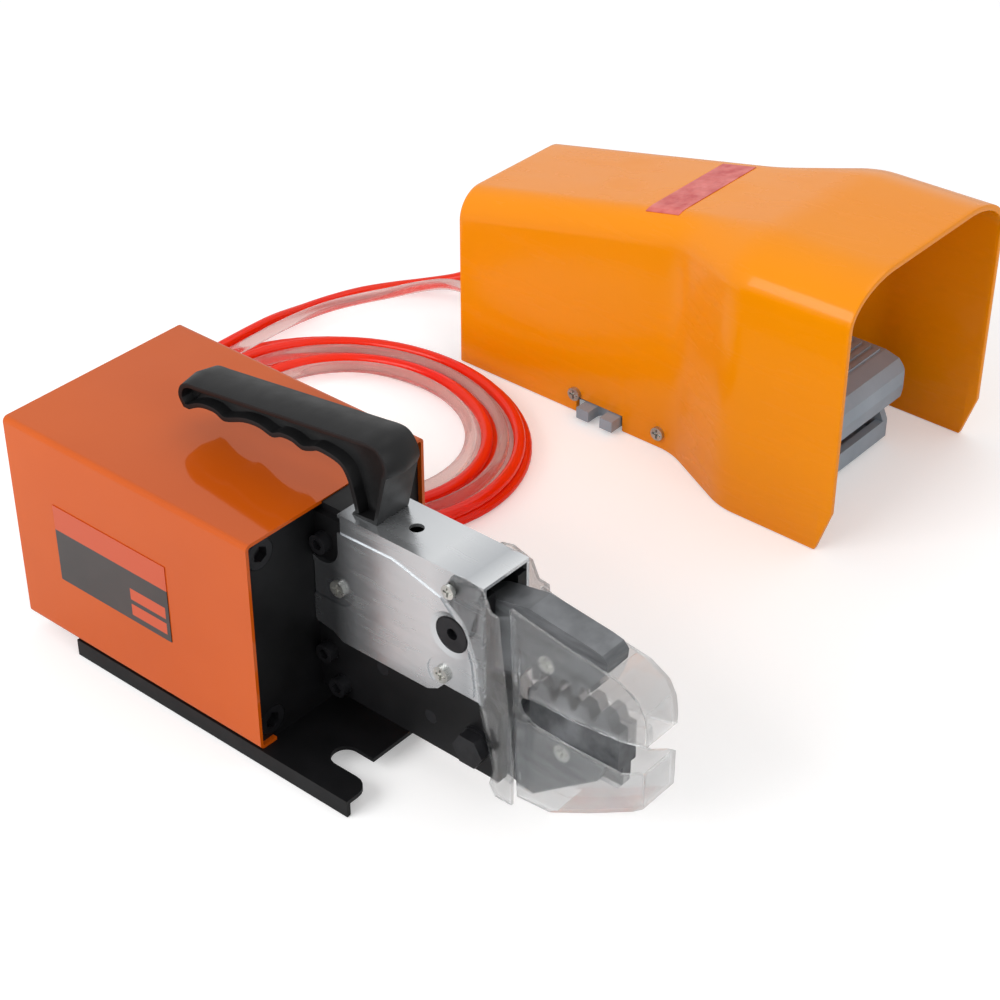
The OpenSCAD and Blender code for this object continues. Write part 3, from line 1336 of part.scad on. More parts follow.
module pedal() color([0.52, 0.54, 0.56]) on_valve() difference() {
    union() {
        intersection() {
            along_y(-pedal_half, pedal_half) polygon(placed(pedal_shares, pedal_x, pedal_low, pedal_l, pedal_h));
            translate([0, 0, pedal_low - over]) linear_extrude(pedal_h + 2 * over) polygon(rounded([
                [pedal_x, -pedal_half, 0], [pedal_x + pedal_l, -pedal_half, pedal_corner],
                [pedal_x + pedal_l, pedal_half, pedal_corner], [pedal_x, pedal_half, 0]
            ]));
        }
        for (x = [pedal_x + pedal_rib_w : pedal_rib_pitch : pedal_x + pedal_rib_l])
            block([x, -pedal_half + pedal_rib_edge, pedal_low + pedal_h - over],
                  [x + pedal_rib_w, pedal_half - pedal_rib_edge, pedal_low + pedal_h + pedal_rib_h]);
        both_sides() {
            rod_y(lug_in, lug_in + lug_t, pedal_pin_x, pedal_pin_z, lug_r);
            block([pedal_pin_x - lug_r, lug_in, pedal_pin_z], [pedal_pin_x + lug_r, lug_in + lug_t, pedal_low + pedal_h - over]);
        }
        along_y(-arm_t / 2, arm_t / 2) polygon(placed(pusher_shares, pusher_x, pusher_low, pusher_l, pusher_h));
    }
    rod_y(-pedal_half, pedal_half, pedal_pin_x, pedal_pin_z, pin_r + run_gap);
}

module pedal_pin() color([0.6, 0.61, 0.63]) on_valve()
    rod_y(-cast_half, cast_half, pedal_pin_x, pedal_pin_z, pin_r);

spring_steps = 8;
spring_height = spring_high - spring_low - 2 * wire_r - 2 * touch_gap;
spring_path = [for (i = [0 : spring_turns * spring_steps])
    let (a = 360 * i / spring_steps)
    [spring_x + (spring_r - wire_r) * cos(a), (spring_r - wire_r) * sin(a),
     spring_low + wire_r + touch_gap + spring_height * i / spring_turns / spring_steps]];
echo(spring_gap = spring_height / spring_turns - 2 * wire_r);

module pedal_spring() color([0.7, 0.71, 0.73]) on_valve()
    tube(spring_path, wire_r, 6);

module valve_body() color([0.75, 0.76, 0.78]) on_valve() difference() {
    union() {
        block([body_x, -body_half, floor_z], [body_x + body_l, body_half, floor_z + body_h]);
        block([fit_x, -block_half, pad_h + floor_t], [fit_x + block_l, block_half, floor_z + body_h]);
    }
    rod_x(body_x + body_half / 2, body_x + body_l + over, 0, spool_z, spool_r + run_gap);
    for (y = [-valve_port_y, valve_port_y]) {
        rod_x(fit_x - over, fit_x + port_l, y, valve_port_z, port_r);
        rod_x(fit_x, fit_x + block_l - air_r, y, valve_port_z, air_r);
    }
    rod_y(-valve_port_y, valve_port_y, fit_x + block_l - air_r, valve_port_z, air_r / 2);
    rod_x(fit_x - over, fit_x + inlet_l, 0, spool_z, inlet_r);
    rod_x(fit_x, body_x + body_half, 0, spool_z, air_r);
}

module spool() color([0.8, 0.81, 0.83]) on_valve() difference() {
    union() {
        rod_x(body_x + body_half / 2 + spool_rest, body_x + body_l, 0, spool_z, spool_r);
        rod_x(body_x + body_l - over, pusher_x - touch_gap - plunger_r, 0, spool_z, plunger_r);
        translate([pusher_x - touch_gap - plunger_r, 0, spool_z]) sphere(r = plunger_r, $fn = 48);
    }
    for (s = land_shares) difference() {
        rod_x(body_x + s * body_l, body_x + s * body_l + spool_r, 0, spool_z, spool_r + over);
        rod_x(body_x, body_x + body_l, 0, spool_z, plunger_r);
    }
}

module valve_fittings() color([0.78, 0.79, 0.8]) on_valve()
    for (y = [-valve_port_y, valve_port_y]) fitting(y, valve_port_z);

module valve_collet_a() color([0.1, 0.2, 0.6]) on_valve() collet(valve_port_y, valve_port_z);
module valve_collet_b() color([0.1, 0.2, 0.6]) on_valve() collet(-valve_port_y, valve_port_z);

housing_cover();
label_plate();
front_head();
rear_head();
divider();
barrels();
tie_screws();
transfer_tube();
pistons();
piston_seals();
piston_rod();
rod_bush();
rod_seals();
base_plate();
base_screws();
wedge();
thrust_roller();
thrust_pin();
support_roller();
support_pin();
frame_plates();
spacers();
frame_screws();
head_cover();
cover_screws();
upper_jaw();
lower_jaw();
upper_die();
lower_die();
upper_die_screw();
lower_die_screw();
pivot_pin();
hex_bolt();
jaw_dowel();
jaw_guard();
guard_screws();
handle();
handle_screw();
tool_fittings();
tool_collet_a();
tool_collet_b();
orange_hose_in();
orange_hose_coil();
orange_hose_out();
clear_hose_in();
clear_hose_coil();
clear_hose_out();
valve_hood();
hood_screws();
hood_tape();
valve_base();
rubber_feet();
pedal();
pedal_pin();
pedal_spring();
valve_body();
spool();
valve_fittings();
valve_collet_a();
valve_collet_b();
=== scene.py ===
# %% [markdown]
# # A pneumatic crimping tool and its foot valve
# The set stands on a bench: an orange cylinder housing with a plated head and toothed dies, a hooded
# pedal valve, and two air hoses coiled between them. The measured model is loaded first and stays as it
# is. This file dresses it: hoses and moulded shells are modelled anew, and every surface gets a finish.

# %% Load the measured model
import json
import math
import bpy
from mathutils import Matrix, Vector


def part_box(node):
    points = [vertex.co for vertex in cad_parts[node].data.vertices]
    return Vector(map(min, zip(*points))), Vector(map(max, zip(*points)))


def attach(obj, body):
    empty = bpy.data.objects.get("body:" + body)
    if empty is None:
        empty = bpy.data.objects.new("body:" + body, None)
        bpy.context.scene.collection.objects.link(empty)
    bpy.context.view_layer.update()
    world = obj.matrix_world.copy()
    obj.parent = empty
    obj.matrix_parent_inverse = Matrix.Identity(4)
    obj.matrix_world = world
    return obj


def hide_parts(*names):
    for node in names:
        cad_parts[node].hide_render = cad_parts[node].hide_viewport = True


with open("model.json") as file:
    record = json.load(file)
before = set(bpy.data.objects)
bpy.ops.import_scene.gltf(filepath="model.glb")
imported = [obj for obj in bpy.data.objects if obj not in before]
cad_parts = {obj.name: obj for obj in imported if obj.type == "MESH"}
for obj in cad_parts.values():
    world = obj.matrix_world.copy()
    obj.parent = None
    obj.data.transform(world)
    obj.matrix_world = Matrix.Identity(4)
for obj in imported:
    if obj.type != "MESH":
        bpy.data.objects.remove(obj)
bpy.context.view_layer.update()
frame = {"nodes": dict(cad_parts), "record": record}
bpy.ops.object.select_all(action="DESELECT")
MM = 0.001
CENTRE_X = 143.0
CENTRE_Y = 148.8
VALVE_Y = 282.5


def row(x, y, z):
    """A point in the tool's own millimetres, as metres round the middle of the set."""
    return ((x - CENTRE_X) * MM, (y - CENTRE_Y) * MM, z * MM)


# %% [markdown]
# The photograph was taken with a long lens from the front right and above. A camera could be placed by
# eye. This one was fitted to the housing's straight edges instead, so its angle, distance and lens put
# those edges about where the photograph has them.

# %% Camera
LENS = 80.09
CAMERA_AT = (649.911, -503.708, 594.914)
CAMERA_DOWN = 34.577
CAMERA_TURN = 40.235
camera_data = bpy.data.cameras.new("studio_camera")
camera_data.sensor_width = 36.0
camera_data.lens = LENS
camera_data.clip_end = 20.0
camera = bpy.data.objects.new("studio_camera", camera_data)
bpy.context.scene.collection.objects.link(camera)
camera.location = row(*CAMERA_AT)
camera.rotation_euler = (math.radians(90.0 - CAMERA_DOWN), 0.0, math.radians(CAMERA_TURN))
bpy.context.scene.camera = camera
bpy.context.scene.view_settings.view_transform = "Standard"
print("camera:", LENS, "mm lens, looking down by", CAMERA_DOWN, "degrees")

# %% [markdown]
# Each air hose is one continuous length of 6 mm polyurethane tube. It leaves its fitting straight, drops
# to the bench, goes four times round in a coil and runs on into the foot valve. A chain of cylinders would
# show a joint at every bend. A curve with a round bevel keeps its thickness all along, and is then made
# into a mesh, whose box is the hose's true size.

# %% Hose routes
HOSE_D = 6.0
BENCH_GAP = 0.1
BENCH_Z = HOSE_D / 2 + BENCH_GAP
COIL_AT = (2.0, 144.0)
COIL_STRETCH = 1.136
COIL_R = 88.0
COIL_PITCH = 14.5
COIL_SIDE = 7.25
COIL_LAYER = 6.6
COIL_TURNS = 4
COIL_STEPS = 72
COIL_TOP = BENCH_Z + COIL_LAYER
LEAD = 3 * HOSE_D
HOSE_X = -2.0
ROUTE_STEPS = 5
HOSE_BEVEL_STEPS = 5


def smooth(u):
    """A share from 0 to 1 that starts and ends softly."""
    v = max(0.0, min(1.0, u))
    return v * v * (3 - 2 * v)


def coil_point(outer, t):
    """The point after t turns of a spiral that winds in, climbs a layer half way and winds out again."""
    r = outer - COIL_PITCH * min(t, COIL_TURNS - t)
    a = math.radians(180 - 360 * t)
    z = BENCH_Z + COIL_LAYER * smooth(2 * t - COIL_TURNS + 0.5)
    return (COIL_AT[0] + COIL_STRETCH * r * math.cos(a), COIL_AT[1] + r * math.sin(a), z)


def coil_left(outer):
    """The X where a hose comes to its coil and leaves it again."""
    return COIL_AT[0] - COIL_STRETCH * outer


def coil_path(outer):
    left = coil_left(outer)
    turns = [coil_point(outer, i / COIL_STEPS) for i in range(COIL_TURNS * COIL_STEPS + 1)]
    return [(left, COIL_AT[1] - HOSE_D, BENCH_Z)] + turns + [(left, COIL_AT[1] + HOSE_D, COIL_TOP)]


def soft_point(p, i, u):
    """The point at share u of the stretch from p[i] to the next, on a soft line through all points."""
    a, b, c, d = p[max(i - 1, 0)], p[i], p[i + 1], p[min(i + 2, len(p) - 1)]
    return tuple(
        (2 * b[k] + (c[k] - a[k]) * u + (2 * a[k] - 5 * b[k] + 4 * c[k] - d[k]) * u * u
         + (3 * b[k] - a[k] - 3 * c[k] + d[k]) * u ** 3) / 2
        for k in range(len(b)))


def bend(p, i, u):
    """The same, held up where it would sink into the bench."""
    x, y, z = soft_point(p, i, u)
    return (x, y, max(z, BENCH_Z))


def route(p):
    """A soft line through given points, with its first and last stretches left straight."""
    inner = [
        bend(p, i, k / ROUTE_STEPS)
        for i in range(1, len(p) - 2)
        for k in range(1 if i == 1 else 0, ROUTE_STEPS)
    ]
    return [p[0], p[1]] + inner + [p[-2], p[-1]]


def hose_path(start, end, first, last, outer):
    """A whole hose: from its fitting to the coil, round the coil, and on to the foot valve."""
    left = coil_left(outer)
    into = [start, (start[0] - LEAD, start[1], start[2])] + first + [
        (left, COIL_AT[1] - 2 * HOSE_D, BENCH_Z), (left, COIL_AT[1] - HOSE_D, BENCH_Z)]
    out = [(left, COIL_AT[1] + HOSE_D, COIL_TOP), (left, COIL_AT[1] + 2 * HOSE_D, COIL_TOP)] + last + [
        (end[0] - LEAD, end[1], end[2]), end]
    return route(into)[:-1] + coil_path(outer) + route(out)[1:]


# %% Hose ends, and the points between them
PORT_A_Y = 10.4283
PORT_B_Y = 38.4283
PORT_Z = 30.0802
VALVE_PORT_Y = 15.0
VALVE_PORT_Z = 24.0
orange_path = hose_path(
    (HOSE_X, PORT_A_Y, PORT_Z), (HOSE_X, VALVE_Y + VALVE_PORT_Y, VALVE_PORT_Z),
    [(-36, 10.5, 26), (-50, 11, 16), (-64, 14, 7), (-78, 20, 3.5), (-90, 31, 3.1), (-96, 46, 3.1),
     (-98, 64, 3.1), (-98, 90, 3.1), (-98, 112, 3.1)],
    [(-98, 176, 9.7), (-98, 196, 9), (-98, 216, 6), (-96, 236, 4), (-90, 254, 3.5), (-80, 269, 4),
     (-67, 281, 6), (-53, 290, 10), (-39, 296, 17)],
    COIL_R)
clear_path = hose_path(
    (HOSE_X, PORT_B_Y, PORT_Z), (HOSE_X, VALVE_Y - VALVE_PORT_Y, VALVE_PORT_Z),
    [(-34, 39, 26), (-48, 41, 17), (-62, 45, 8.5), (-75, 53, 4), (-84, 65, 3.1), (-88.5, 80, 3.1),
     (-89.7, 96, 3.1), (-89.7, 114, 3.1)],
    [(-89.7, 172, 9.7), (-89.5, 190, 9.7), (-88, 208, 9.7), (-84, 224, 10), (-76, 239, 11),
     (-65, 251, 13.5), (-52, 260, 18), (-38, 266, 22)],
    COIL_R - COIL_SIDE)


# %% Hose maker
def select_only(piece):
    bpy.ops.object.select_all(action="DESELECT")
    piece.select_set(True)
    bpy.context.view_layer.objects.active = piece


def make_hose(name, path, nodes):
    curve = bpy.data.curves.new(name, "CURVE")
    curve.dimensions = "3D"
    spline = curve.splines.new("POLY")
    points = [row(*p) for p in path]
    spline.points.add(len(points) - 1)
    for point, place in zip(spline.points, points):
        point.co = (*place, 1.0)
    curve.bevel_depth = HOSE_D / 2 * MM
    curve.bevel_resolution = HOSE_BEVEL_STEPS
    curve.use_fill_caps = True
    hose = bpy.data.objects.new(name, curve)
    bpy.context.scene.collection.objects.link(hose)
    select_only(hose)
    bpy.ops.object.convert(target="MESH")
    hose = bpy.context.object
    bpy.ops.object.shade_smooth()
    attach(hose, "frame")
    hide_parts(*nodes)
    return hose


# %% Hoses
orange_hose = make_hose(
    "orange_air_hose", orange_path, ("orange_hose_in", "orange_hose_coil", "orange_hose_out"))
clear_hose = make_hose(
    "clear_air_hose", clear_path, ("clear_hose_in", "clear_hose_coil", "clear_hose_out"))

# %% [markdown]
# The hood is one moulded shell: a narrow tunnel over the valve that flares into a wide mouth for the
# shoe. One outline pushed along would give a straight tunnel. Here the arch's half width, height and
# corner radii change along the hood, so a flat grid is laid down and each of its points is moved on to
# the arch at its place. A Solidify modifier then gives the wall its thickness inwards, and two cutters
# take out the notch for the ears and clip the lower corners of the mouth.

# %% Outline of the hood
HOOD_BACK = 5.5
HOOD_END = 234.5
FLARE_X = 130.0
FLARE_L = 44.0
REAR_HALF, MOUTH_HALF = 43.0, 65.5
REAR_TOP, CREASE_TOP, MOUTH_TOP = 96.0, 135.0, 136.0
REAR_ROUND, MOUTH_ROUND, MOUTH_ROUND_H = 15.0, 34.0, 20.0
HOOD_WALL = 3.0
CORNER_STEPS = 14
STATIONS = 96
SOFT = 7.0
SOFT_SAMPLES = 4
LEAD_IN = 20.0
SIDE_SHARES = (0.0, 0.34, 0.67)


def mix(a, b, s):
    return a + (b - a) * s


def soft_share(x, start, length):
    """How far x is through a stretch, from 0 to 1, with its two bends rounded."""
    total = 0.0
    for i in range(-SOFT_SAMPLES, SOFT_SAMPLES + 1):
        total += max(0.0, min(1.0, (x + i * SOFT / SOFT_SAMPLES - start) / length))
    return total / (2 * SOFT_SAMPLES + 1)


def hood_arch(x):
    """The outline across the hood at x, from one lower edge over the top to the other."""
    crease_x = FLARE_X + FLARE_L
    run = crease_x + HOOD_BACK + LEAD_IN
    flare = soft_share(x, FLARE_X, FLARE_L)
    rise = soft_share(x, -HOOD_BACK - LEAD_IN, run)
    half = mix(REAR_HALF, MOUTH_HALF, flare)
    start_rise = LEAD_IN / run
    share = (rise - start_rise) / (1 - start_rise)
    high = mix(REAR_TOP, CREASE_TOP, share)
    if x > crease_x:
        high += (MOUTH_TOP - CREASE_TOP) * (x - crease_x) / (HOOD_END - crease_x)
    ry = mix(REAR_ROUND, MOUTH_ROUND, flare)
    rz = mix(REAR_ROUND, MOUTH_ROUND_H, flare)
    points = [(half, (high - rz) * share_up) for share_up in SIDE_SHARES]
    for i in range(CORNER_STEPS + 1):
        a = math.radians(90 * i / CORNER_STEPS)
        points.append((half - ry + ry * math.cos(a), high - rz + rz * math.sin(a)))
    far_side = [(-y, z) for y, z in reversed(points)]
    top = [((half - ry) / 3, high), (-(half - ry) / 3, high)]
    return points + top + far_side


# %% Hood grid
KEY_DIGITS = 5
ring_size = len(hood_arch(0.0))
bpy.ops.mesh.primitive_grid_add(x_subdivisions=STATIONS, y_subdivisions=ring_size - 1, size=1.0)
hood = bpy.context.object
hood.name = "pedal_hood_shell"
order = sorted(hood.data.vertices, key=lambda v: (round(v.co.x, KEY_DIGITS), round(v.co.y, KEY_DIGITS)))
for n, vertex in enumerate(order):
    x = mix(-HOOD_BACK, HOOD_END, (n // ring_size) / STATIONS)
    y, z = hood_arch(x)[n % ring_size]
    vertex.co = row(x, y + VALVE_Y, z)
print("hood grid:", len(order), "points")


# %% Hood wall
DOUBLE_GAP = 1e-6


def apply_modifiers(piece):
    select_only(piece)
    for modifier in list(piece.modifiers):
        bpy.ops.object.modifier_apply(modifier=modifier.name)


def face_outwards(piece):
    select_only(piece)
    bpy.ops.object.mode_set(mode="EDIT")
    bpy.ops.mesh.select_all(action="SELECT")
    bpy.ops.mesh.remove_doubles(threshold=DOUBLE_GAP)
    bpy.ops.mesh.normals_make_consistent(inside=False)
    bpy.ops.object.mode_set(mode="OBJECT")


face_outwards(hood)
middle_face = max(hood.data.polygons, key=lambda f: f.center.z)
wall = hood.modifiers.new("wall", "SOLIDIFY")
wall.thickness = HOOD_WALL * MM
wall.offset = -1.0 if middle_face.normal.z > 0 else 1.0
wall.use_even_offset = True
apply_modifiers(hood)
face_outwards(hood)
print("hood wall:", HOOD_WALL, "mm")


# %% Hood cuts and soft edges
NOTCH_LOW_X, NOTCH_HIGH_X, NOTCH_TOP = 71.0, 99.5, 8.5
CLIP_L, CLIP_H = 14.0, 22.0
CUTTER_HALF = 80.0
CUTTER_BELOW = 1.0
CUTTER_PAST = 5.5
EDGE_STEPS = 2
SHARP_ANGLE = 50
HOOD_EDGE, HOOD_SMOOTH_ANGLE = 0.8, 35


def box_piece(name, low, high):
    """A cube with its corners at two places in the tool's own millimetres."""
    a, b = row(*low), row(*high)
    bpy.ops.mesh.primitive_cube_add(size=1.0)
    piece = bpy.context.object
    piece.name = name
    for vertex in piece.data.vertices:
        vertex.co = [a[k] if vertex.co[k] < 0 else b[k] for k in range(3)]
    return piece


def cut(piece, cutter):
    boolean = piece.modifiers.new("cut", "BOOLEAN")
    boolean.operation = "DIFFERENCE"
    boolean.solver = "EXACT"
    boolean.object = cutter
    apply_modifiers(piece)
    bpy.data.objects.remove(cutter, do_unlink=True)


def soften(piece, width, smooth_angle):
    """Rounds the sharp edges by a width in millimetres, and shades the rest smooth up to an angle."""
    edge = piece.modifiers.new("edge", "BEVEL")
    edge.width = width * MM
    edge.segments = EDGE_STEPS
    edge.limit_method = "ANGLE"
    edge.angle_limit = math.radians(SHARP_ANGLE)
    apply_modifiers(piece)
    select_only(piece)
    bpy.ops.object.shade_smooth_by_angle(angle=math.radians(smooth_angle))


near, far = VALVE_Y - CUTTER_HALF, VALVE_Y + CUTTER_HALF
notch = box_piece(
    "notch_cutter", (NOTCH_LOW_X, near, -CUTTER_BELOW), (NOTCH_HIGH_X, far, NOTCH_TOP))
cut(hood, notch)
corner = box_piece(
    "corner_cutter", (HOOD_END - CLIP_L, near, -CLIP_H), (HOOD_END + CUTTER_PAST, far, CLIP_H))
for vertex in corner.data.vertices:
    local_x = vertex.co.x / MM + CENTRE_X
    if local_x < HOOD_END and vertex.co.z > 0:
        vertex.co.x = (HOOD_END - CENTRE_X) * MM
cut(hood, corner)
soften(hood, HOOD_EDGE, HOOD_SMOOTH_ANGLE)
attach(hood, "frame")
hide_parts("valve_hood")
print("hood:", len(hood.data.polygons), "faces")

# %% [markdown]
# The grip is moulded with four finger scallops, a hollow on each side and a low ridge along its back. It
# could be sculpted from a block, but its outline is what shows. So the outline is filled and pushed out
# twice across the tool, the middle row is lifted into the ridge, and both side faces are inset and sunk.

# %% Outline of the grip
GRIP_X, GRIP_L, GRIP_H, GRIP_HALF = 62.7, 114.0, 38.0, 9.0
HEAD_TOP = 109.0
CURVE_STEPS = 4
NOSE = [(0.022, 0.28), (0, 0.4), (0.012, 0.53), (0.046, 0.6), (0.1, 0.622)]
SHOULDER = [(0.86, 0.925), (0.915, 0.947), (0.955, 0.93), (0.985, 0.84), (1, 0.71), (0.99, 0.6)]
FOOT = [(0.942, 0.004), (0.83, 0.004)]
GROOVES = [
    (0.846, 0.06), (0.832, 0.24), (0.81, 0.43), (0.774, 0.535), (0.69, 0.565), (0.65, 0.52),
    (0.607, 0.482), (0.56, 0.52), (0.51, 0.51), (0.465, 0.455), (0.4, 0.49), (0.325, 0.46),
    (0.232, 0.355), (0.18, 0.4), (0.11, 0.375), (0.05, 0.282),
]


def curve_through(points, steps):
    """A soft line through points in a plane, with its first and last points kept."""
    line = [soft_point(points, i, n / steps) for i in range(len(points) - 1) for n in range(steps)]
    return line + [points[-1]]


back = curve_through(NOSE, CURVE_STEPS) + curve_through(SHOULDER, CURVE_STEPS)
outline = back + FOOT + curve_through(GROOVES, CURVE_STEPS)
outline = [(GRIP_X + GRIP_L * a, HEAD_TOP + GRIP_H * b) for a, b in outline]
print("grip outline:", len(outline), "points")

# %% Grip body and its ridge
RIDGE = 1.5
SAME_PLACE = 0.0001


def flat_key(place):
    """A point's X and Z, rounded, so that the same point can be looked up again."""
    return (round(place[0], KEY_DIGITS), round(place[2], KEY_DIGITS))


bpy.ops.mesh.primitive_circle_add(vertices=len(outline), fill_type="NGON")
handle = bpy.context.object
handle.name = "grip_moulding"
for vertex, (x, z) in zip(handle.data.vertices, outline):
    vertex.co = row(x, -GRIP_HALF, z)
bpy.ops.object.mode_set(mode="EDIT")
bpy.ops.mesh.select_all(action="SELECT")
for _ in range(2):
    bpy.ops.mesh.extrude_region_move(TRANSFORM_OT_translate={"value": (0.0, GRIP_HALF * MM, 0.0)})
bpy.ops.object.mode_set(mode="OBJECT")
lift = {}
for n in range(1, len(back) - 1):
    (x0, z0), (x1, z1) = outline[n - 1], outline[n + 1]
    size = math.hypot(x1 - x0, z1 - z0)
    place = row(outline[n][0], 0.0, outline[n][1])
    lift[flat_key(place)] = ((z0 - z1) / size, (x1 - x0) / size)
middle_y = row(0.0, 0.0, 0.0)[1]
for vertex in handle.data.vertices:
    push = lift.get(flat_key(vertex.co))
    if push is not None and abs(vertex.co.y - middle_y) < SAME_PLACE:
        vertex.co.x += push[0] * RIDGE * MM
        vertex.co.z += push[1] * RIDGE * MM
face_outwards(handle)

# %% Hollows in the grip's sides
RIM = 2.0
POCKET = 5.0
POCKET_DRAFT = 0.4
SIDE_FACE_SHARE = 0.9
GRIP_EDGE, GRIP_SMOOTH_ANGLE = 0.7, 22
side_size = max(face.area for face in handle.data.polygons) * SIDE_FACE_SHARE
bpy.ops.object.mode_set(mode="EDIT")
bpy.ops.mesh.select_mode(type="FACE")
bpy.ops.mesh.select_all(action="DESELECT")
bpy.ops.object.mode_set(mode="OBJECT")
for face in handle.data.polygons:
    face.select = face.area > side_size
bpy.ops.object.mode_set(mode="EDIT")
bpy.ops.mesh.inset(thickness=RIM * MM, use_individual=True, use_even_offset=False)
bpy.ops.mesh.inset(
    thickness=POCKET_DRAFT * MM, depth=-POCKET * MM, use_individual=True, use_even_offset=False)
bpy.ops.object.mode_set(mode="OBJECT")
soften(handle, GRIP_EDGE, GRIP_SMOOTH_ANGLE)
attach(handle, "frame")
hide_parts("handle")
print("grip:", len(handle.data.polygons), "faces")

# %% [markdown]
# Every finish is built from nodes on Object coordinates, so it stays on its piece from every side and
# needs no unwrapping. One helper lays the base that most finishes share: a colour that drifts a little
# between two tones, a roughness that drifts too, and a fine bump.

# %% Colour helper
def linear(r, g, b):
    """A colour as seen on screen, from 0 to 255, as the linear values that the shader wants."""
    out = []
    for c in (r, g, b):
        c = c / 255.0
        out.append(c / 12.92 if c <= 0.04045 else ((c + 0.055) / 1.055) ** 2.4)
    return tuple(out)


# %% Finish helper
COAT_ROUGHNESS = 0.06


class Finish:
    """A material on the Principled shader, with short names for the nodes that this set needs."""

    def __init__(self, name, metallic=0.0, coat=0.0, specular=0.5):
        self.material = bpy.data.materials.new(name)
        self.material.use_nodes = True
        self.nodes = self.material.node_tree.nodes
        self.links = self.material.node_tree.links
        self.shader = self.nodes["Principled BSDF"]
        self.shader.inputs["Metallic"].default_value = metallic
        self.shader.inputs["Coat Weight"].default_value = coat
        self.shader.inputs["Coat Roughness"].default_value = COAT_ROUGHNESS
        self.shader.inputs["Specular IOR Level"].default_value = specular
        self.place = self.nodes.new("ShaderNodeTexCoord").outputs["Object"]

    def mapped(self, scale):
        mapping = self.nodes.new("ShaderNodeMapping")
        mapping.inputs["Scale"].default_value = scale
        self.links.new(self.place, mapping.inputs["Vector"])
        return mapping.outputs["Vector"]

    def noise(self, scale, detail=3.0, stretch=(1, 1, 1)):
        node = self.nodes.new("ShaderNodeTexNoise")
        node.inputs["Scale"].default_value = scale
        node.inputs["Detail"].default_value = detail
        self.links.new(self.mapped(stretch), node.inputs["Vector"])
        return node.outputs["Fac"]

    def along(self, axis):
        """One of the piece's own coordinates, in metres: 0, 1 and 2 are X, Y and Z."""
        node = self.nodes.new("ShaderNodeSeparateXYZ")
        self.links.new(self.place, node.inputs["Vector"])
        return node.outputs[axis]

    def math(self, operation, *values):
        node = self.nodes.new("ShaderNodeMath")
        node.operation = operation
        for socket, value in zip(node.inputs, values):
            if isinstance(value, float):
                socket.default_value = value
            else:
                self.links.new(value, socket)
        return node.outputs["Value"]

    def patch(self, x_low, x_high, z_low, z_high):
        """1 inside a rectangle seen from the front, and 0 outside it."""
        across = self.math("COMPARE", self.along(0), (x_low + x_high) / 2, (x_high - x_low) / 2)
        up = self.math("COMPARE", self.along(2), (z_low + z_high) / 2, (z_high - z_low) / 2)
        return self.math("MULTIPLY", across, up)

    def ramp(self, fac, stops):
        node = self.nodes.new("ShaderNodeValToRGB")
        band = node.color_ramp
        while len(band.elements) < len(stops):
            band.elements.new(0.5)
        for element, (at, colour) in zip(band.elements, stops):
            element.position = at
            element.color = (*colour, 1.0)
        self.links.new(fac, node.inputs["Fac"])
        return node.outputs["Color"]

    def remap(self, fac, low, high, from_low=0.0, from_high=1.0):
        node = self.nodes.new("ShaderNodeMapRange")
        node.inputs["From Min"].default_value = from_low
        node.inputs["From Max"].default_value = from_high
        node.inputs["To Min"].default_value = low
        node.inputs["To Max"].default_value = high
        self.links.new(fac, node.inputs["Value"])
        return node.outputs["Result"]

    def colour(self, socket):
        self.links.new(socket, self.shader.inputs["Base Color"])

    def rough(self, socket):
        self.links.new(socket, self.shader.inputs["Roughness"])

    def bump(self, fac, strength, distance):
        node = self.nodes.new("ShaderNodeBump")
        node.inputs["Strength"].default_value = strength
        node.inputs["Distance"].default_value = distance
        self.links.new(fac, node.inputs["Height"])
        self.links.new(node.outputs["Normal"], self.shader.inputs["Normal"])

    def mix(self, fac, a, b):
        node = self.nodes.new("ShaderNodeMix")
        node.data_type = "RGBA"
        self.links.new(fac, node.inputs["Factor"])
        for socket, value in ((node.inputs["A"], a), (node.inputs["B"], b)):
            if isinstance(value, tuple):
                socket.default_value = (*value, 1.0)
            else:
                self.links.new(value, socket)
        return node.outputs["Result"]


# %% Base of most finishes
NOISE_LOW, NOISE_HIGH = 0.3, 0.7
GRAIN_STRENGTH = 0.35


def drifting(name, dark, light, scale, rough, metallic=0.0, coat=0.0, grain=900.0, depth=0.00006,
             stretch=(1, 1, 1), specular=0.5):
    """A finish whose colour drifts between two tones and whose surface has a fine grain."""
    f = Finish(name, metallic, coat, specular)
    drift = f.noise(scale, 4.0, stretch)
    f.colour(f.ramp(drift, [(NOISE_LOW, dark), (NOISE_HIGH, light)]))
    f.rough(f.remap(f.noise(scale * 3, 2.0, stretch), rough[0], rough[1], NOISE_LOW, NOISE_HIGH))
    f.bump(f.noise(grain, 2.0, stretch), GRAIN_STRENGTH, depth)
    return f


# %% [markdown]
# The housing has a glossy clear layer over its orange, so it mirrors the grip. The black parts are satin.
# The plated head could be one even grey, but a painted reflection makes it darker beside the housing,
# where real sheet mirrors its black neighbours. A ramp along its length paints that, with more bands
# further on.

# %% Paints
orange_paint = drifting(
    "orange_powder_coat", linear(190, 78, 2), linear(200, 86, 6), scale=9.0, rough=(0.4, 0.5),
    coat=0.6, grain=420.0, depth=0.00002, specular=0.05)
black_paint = drifting(
    "satin_black_paint", linear(9, 9, 10), linear(18, 18, 20), scale=30.0, rough=(0.38, 0.5),
    grain=1400.0, specular=0.2)
grey_cast = drifting(
    "grey_painted_casting", linear(134, 146, 157), linear(158, 169, 179), scale=26.0,
    rough=(0.4, 0.52), grain=1100.0, specular=0.35)

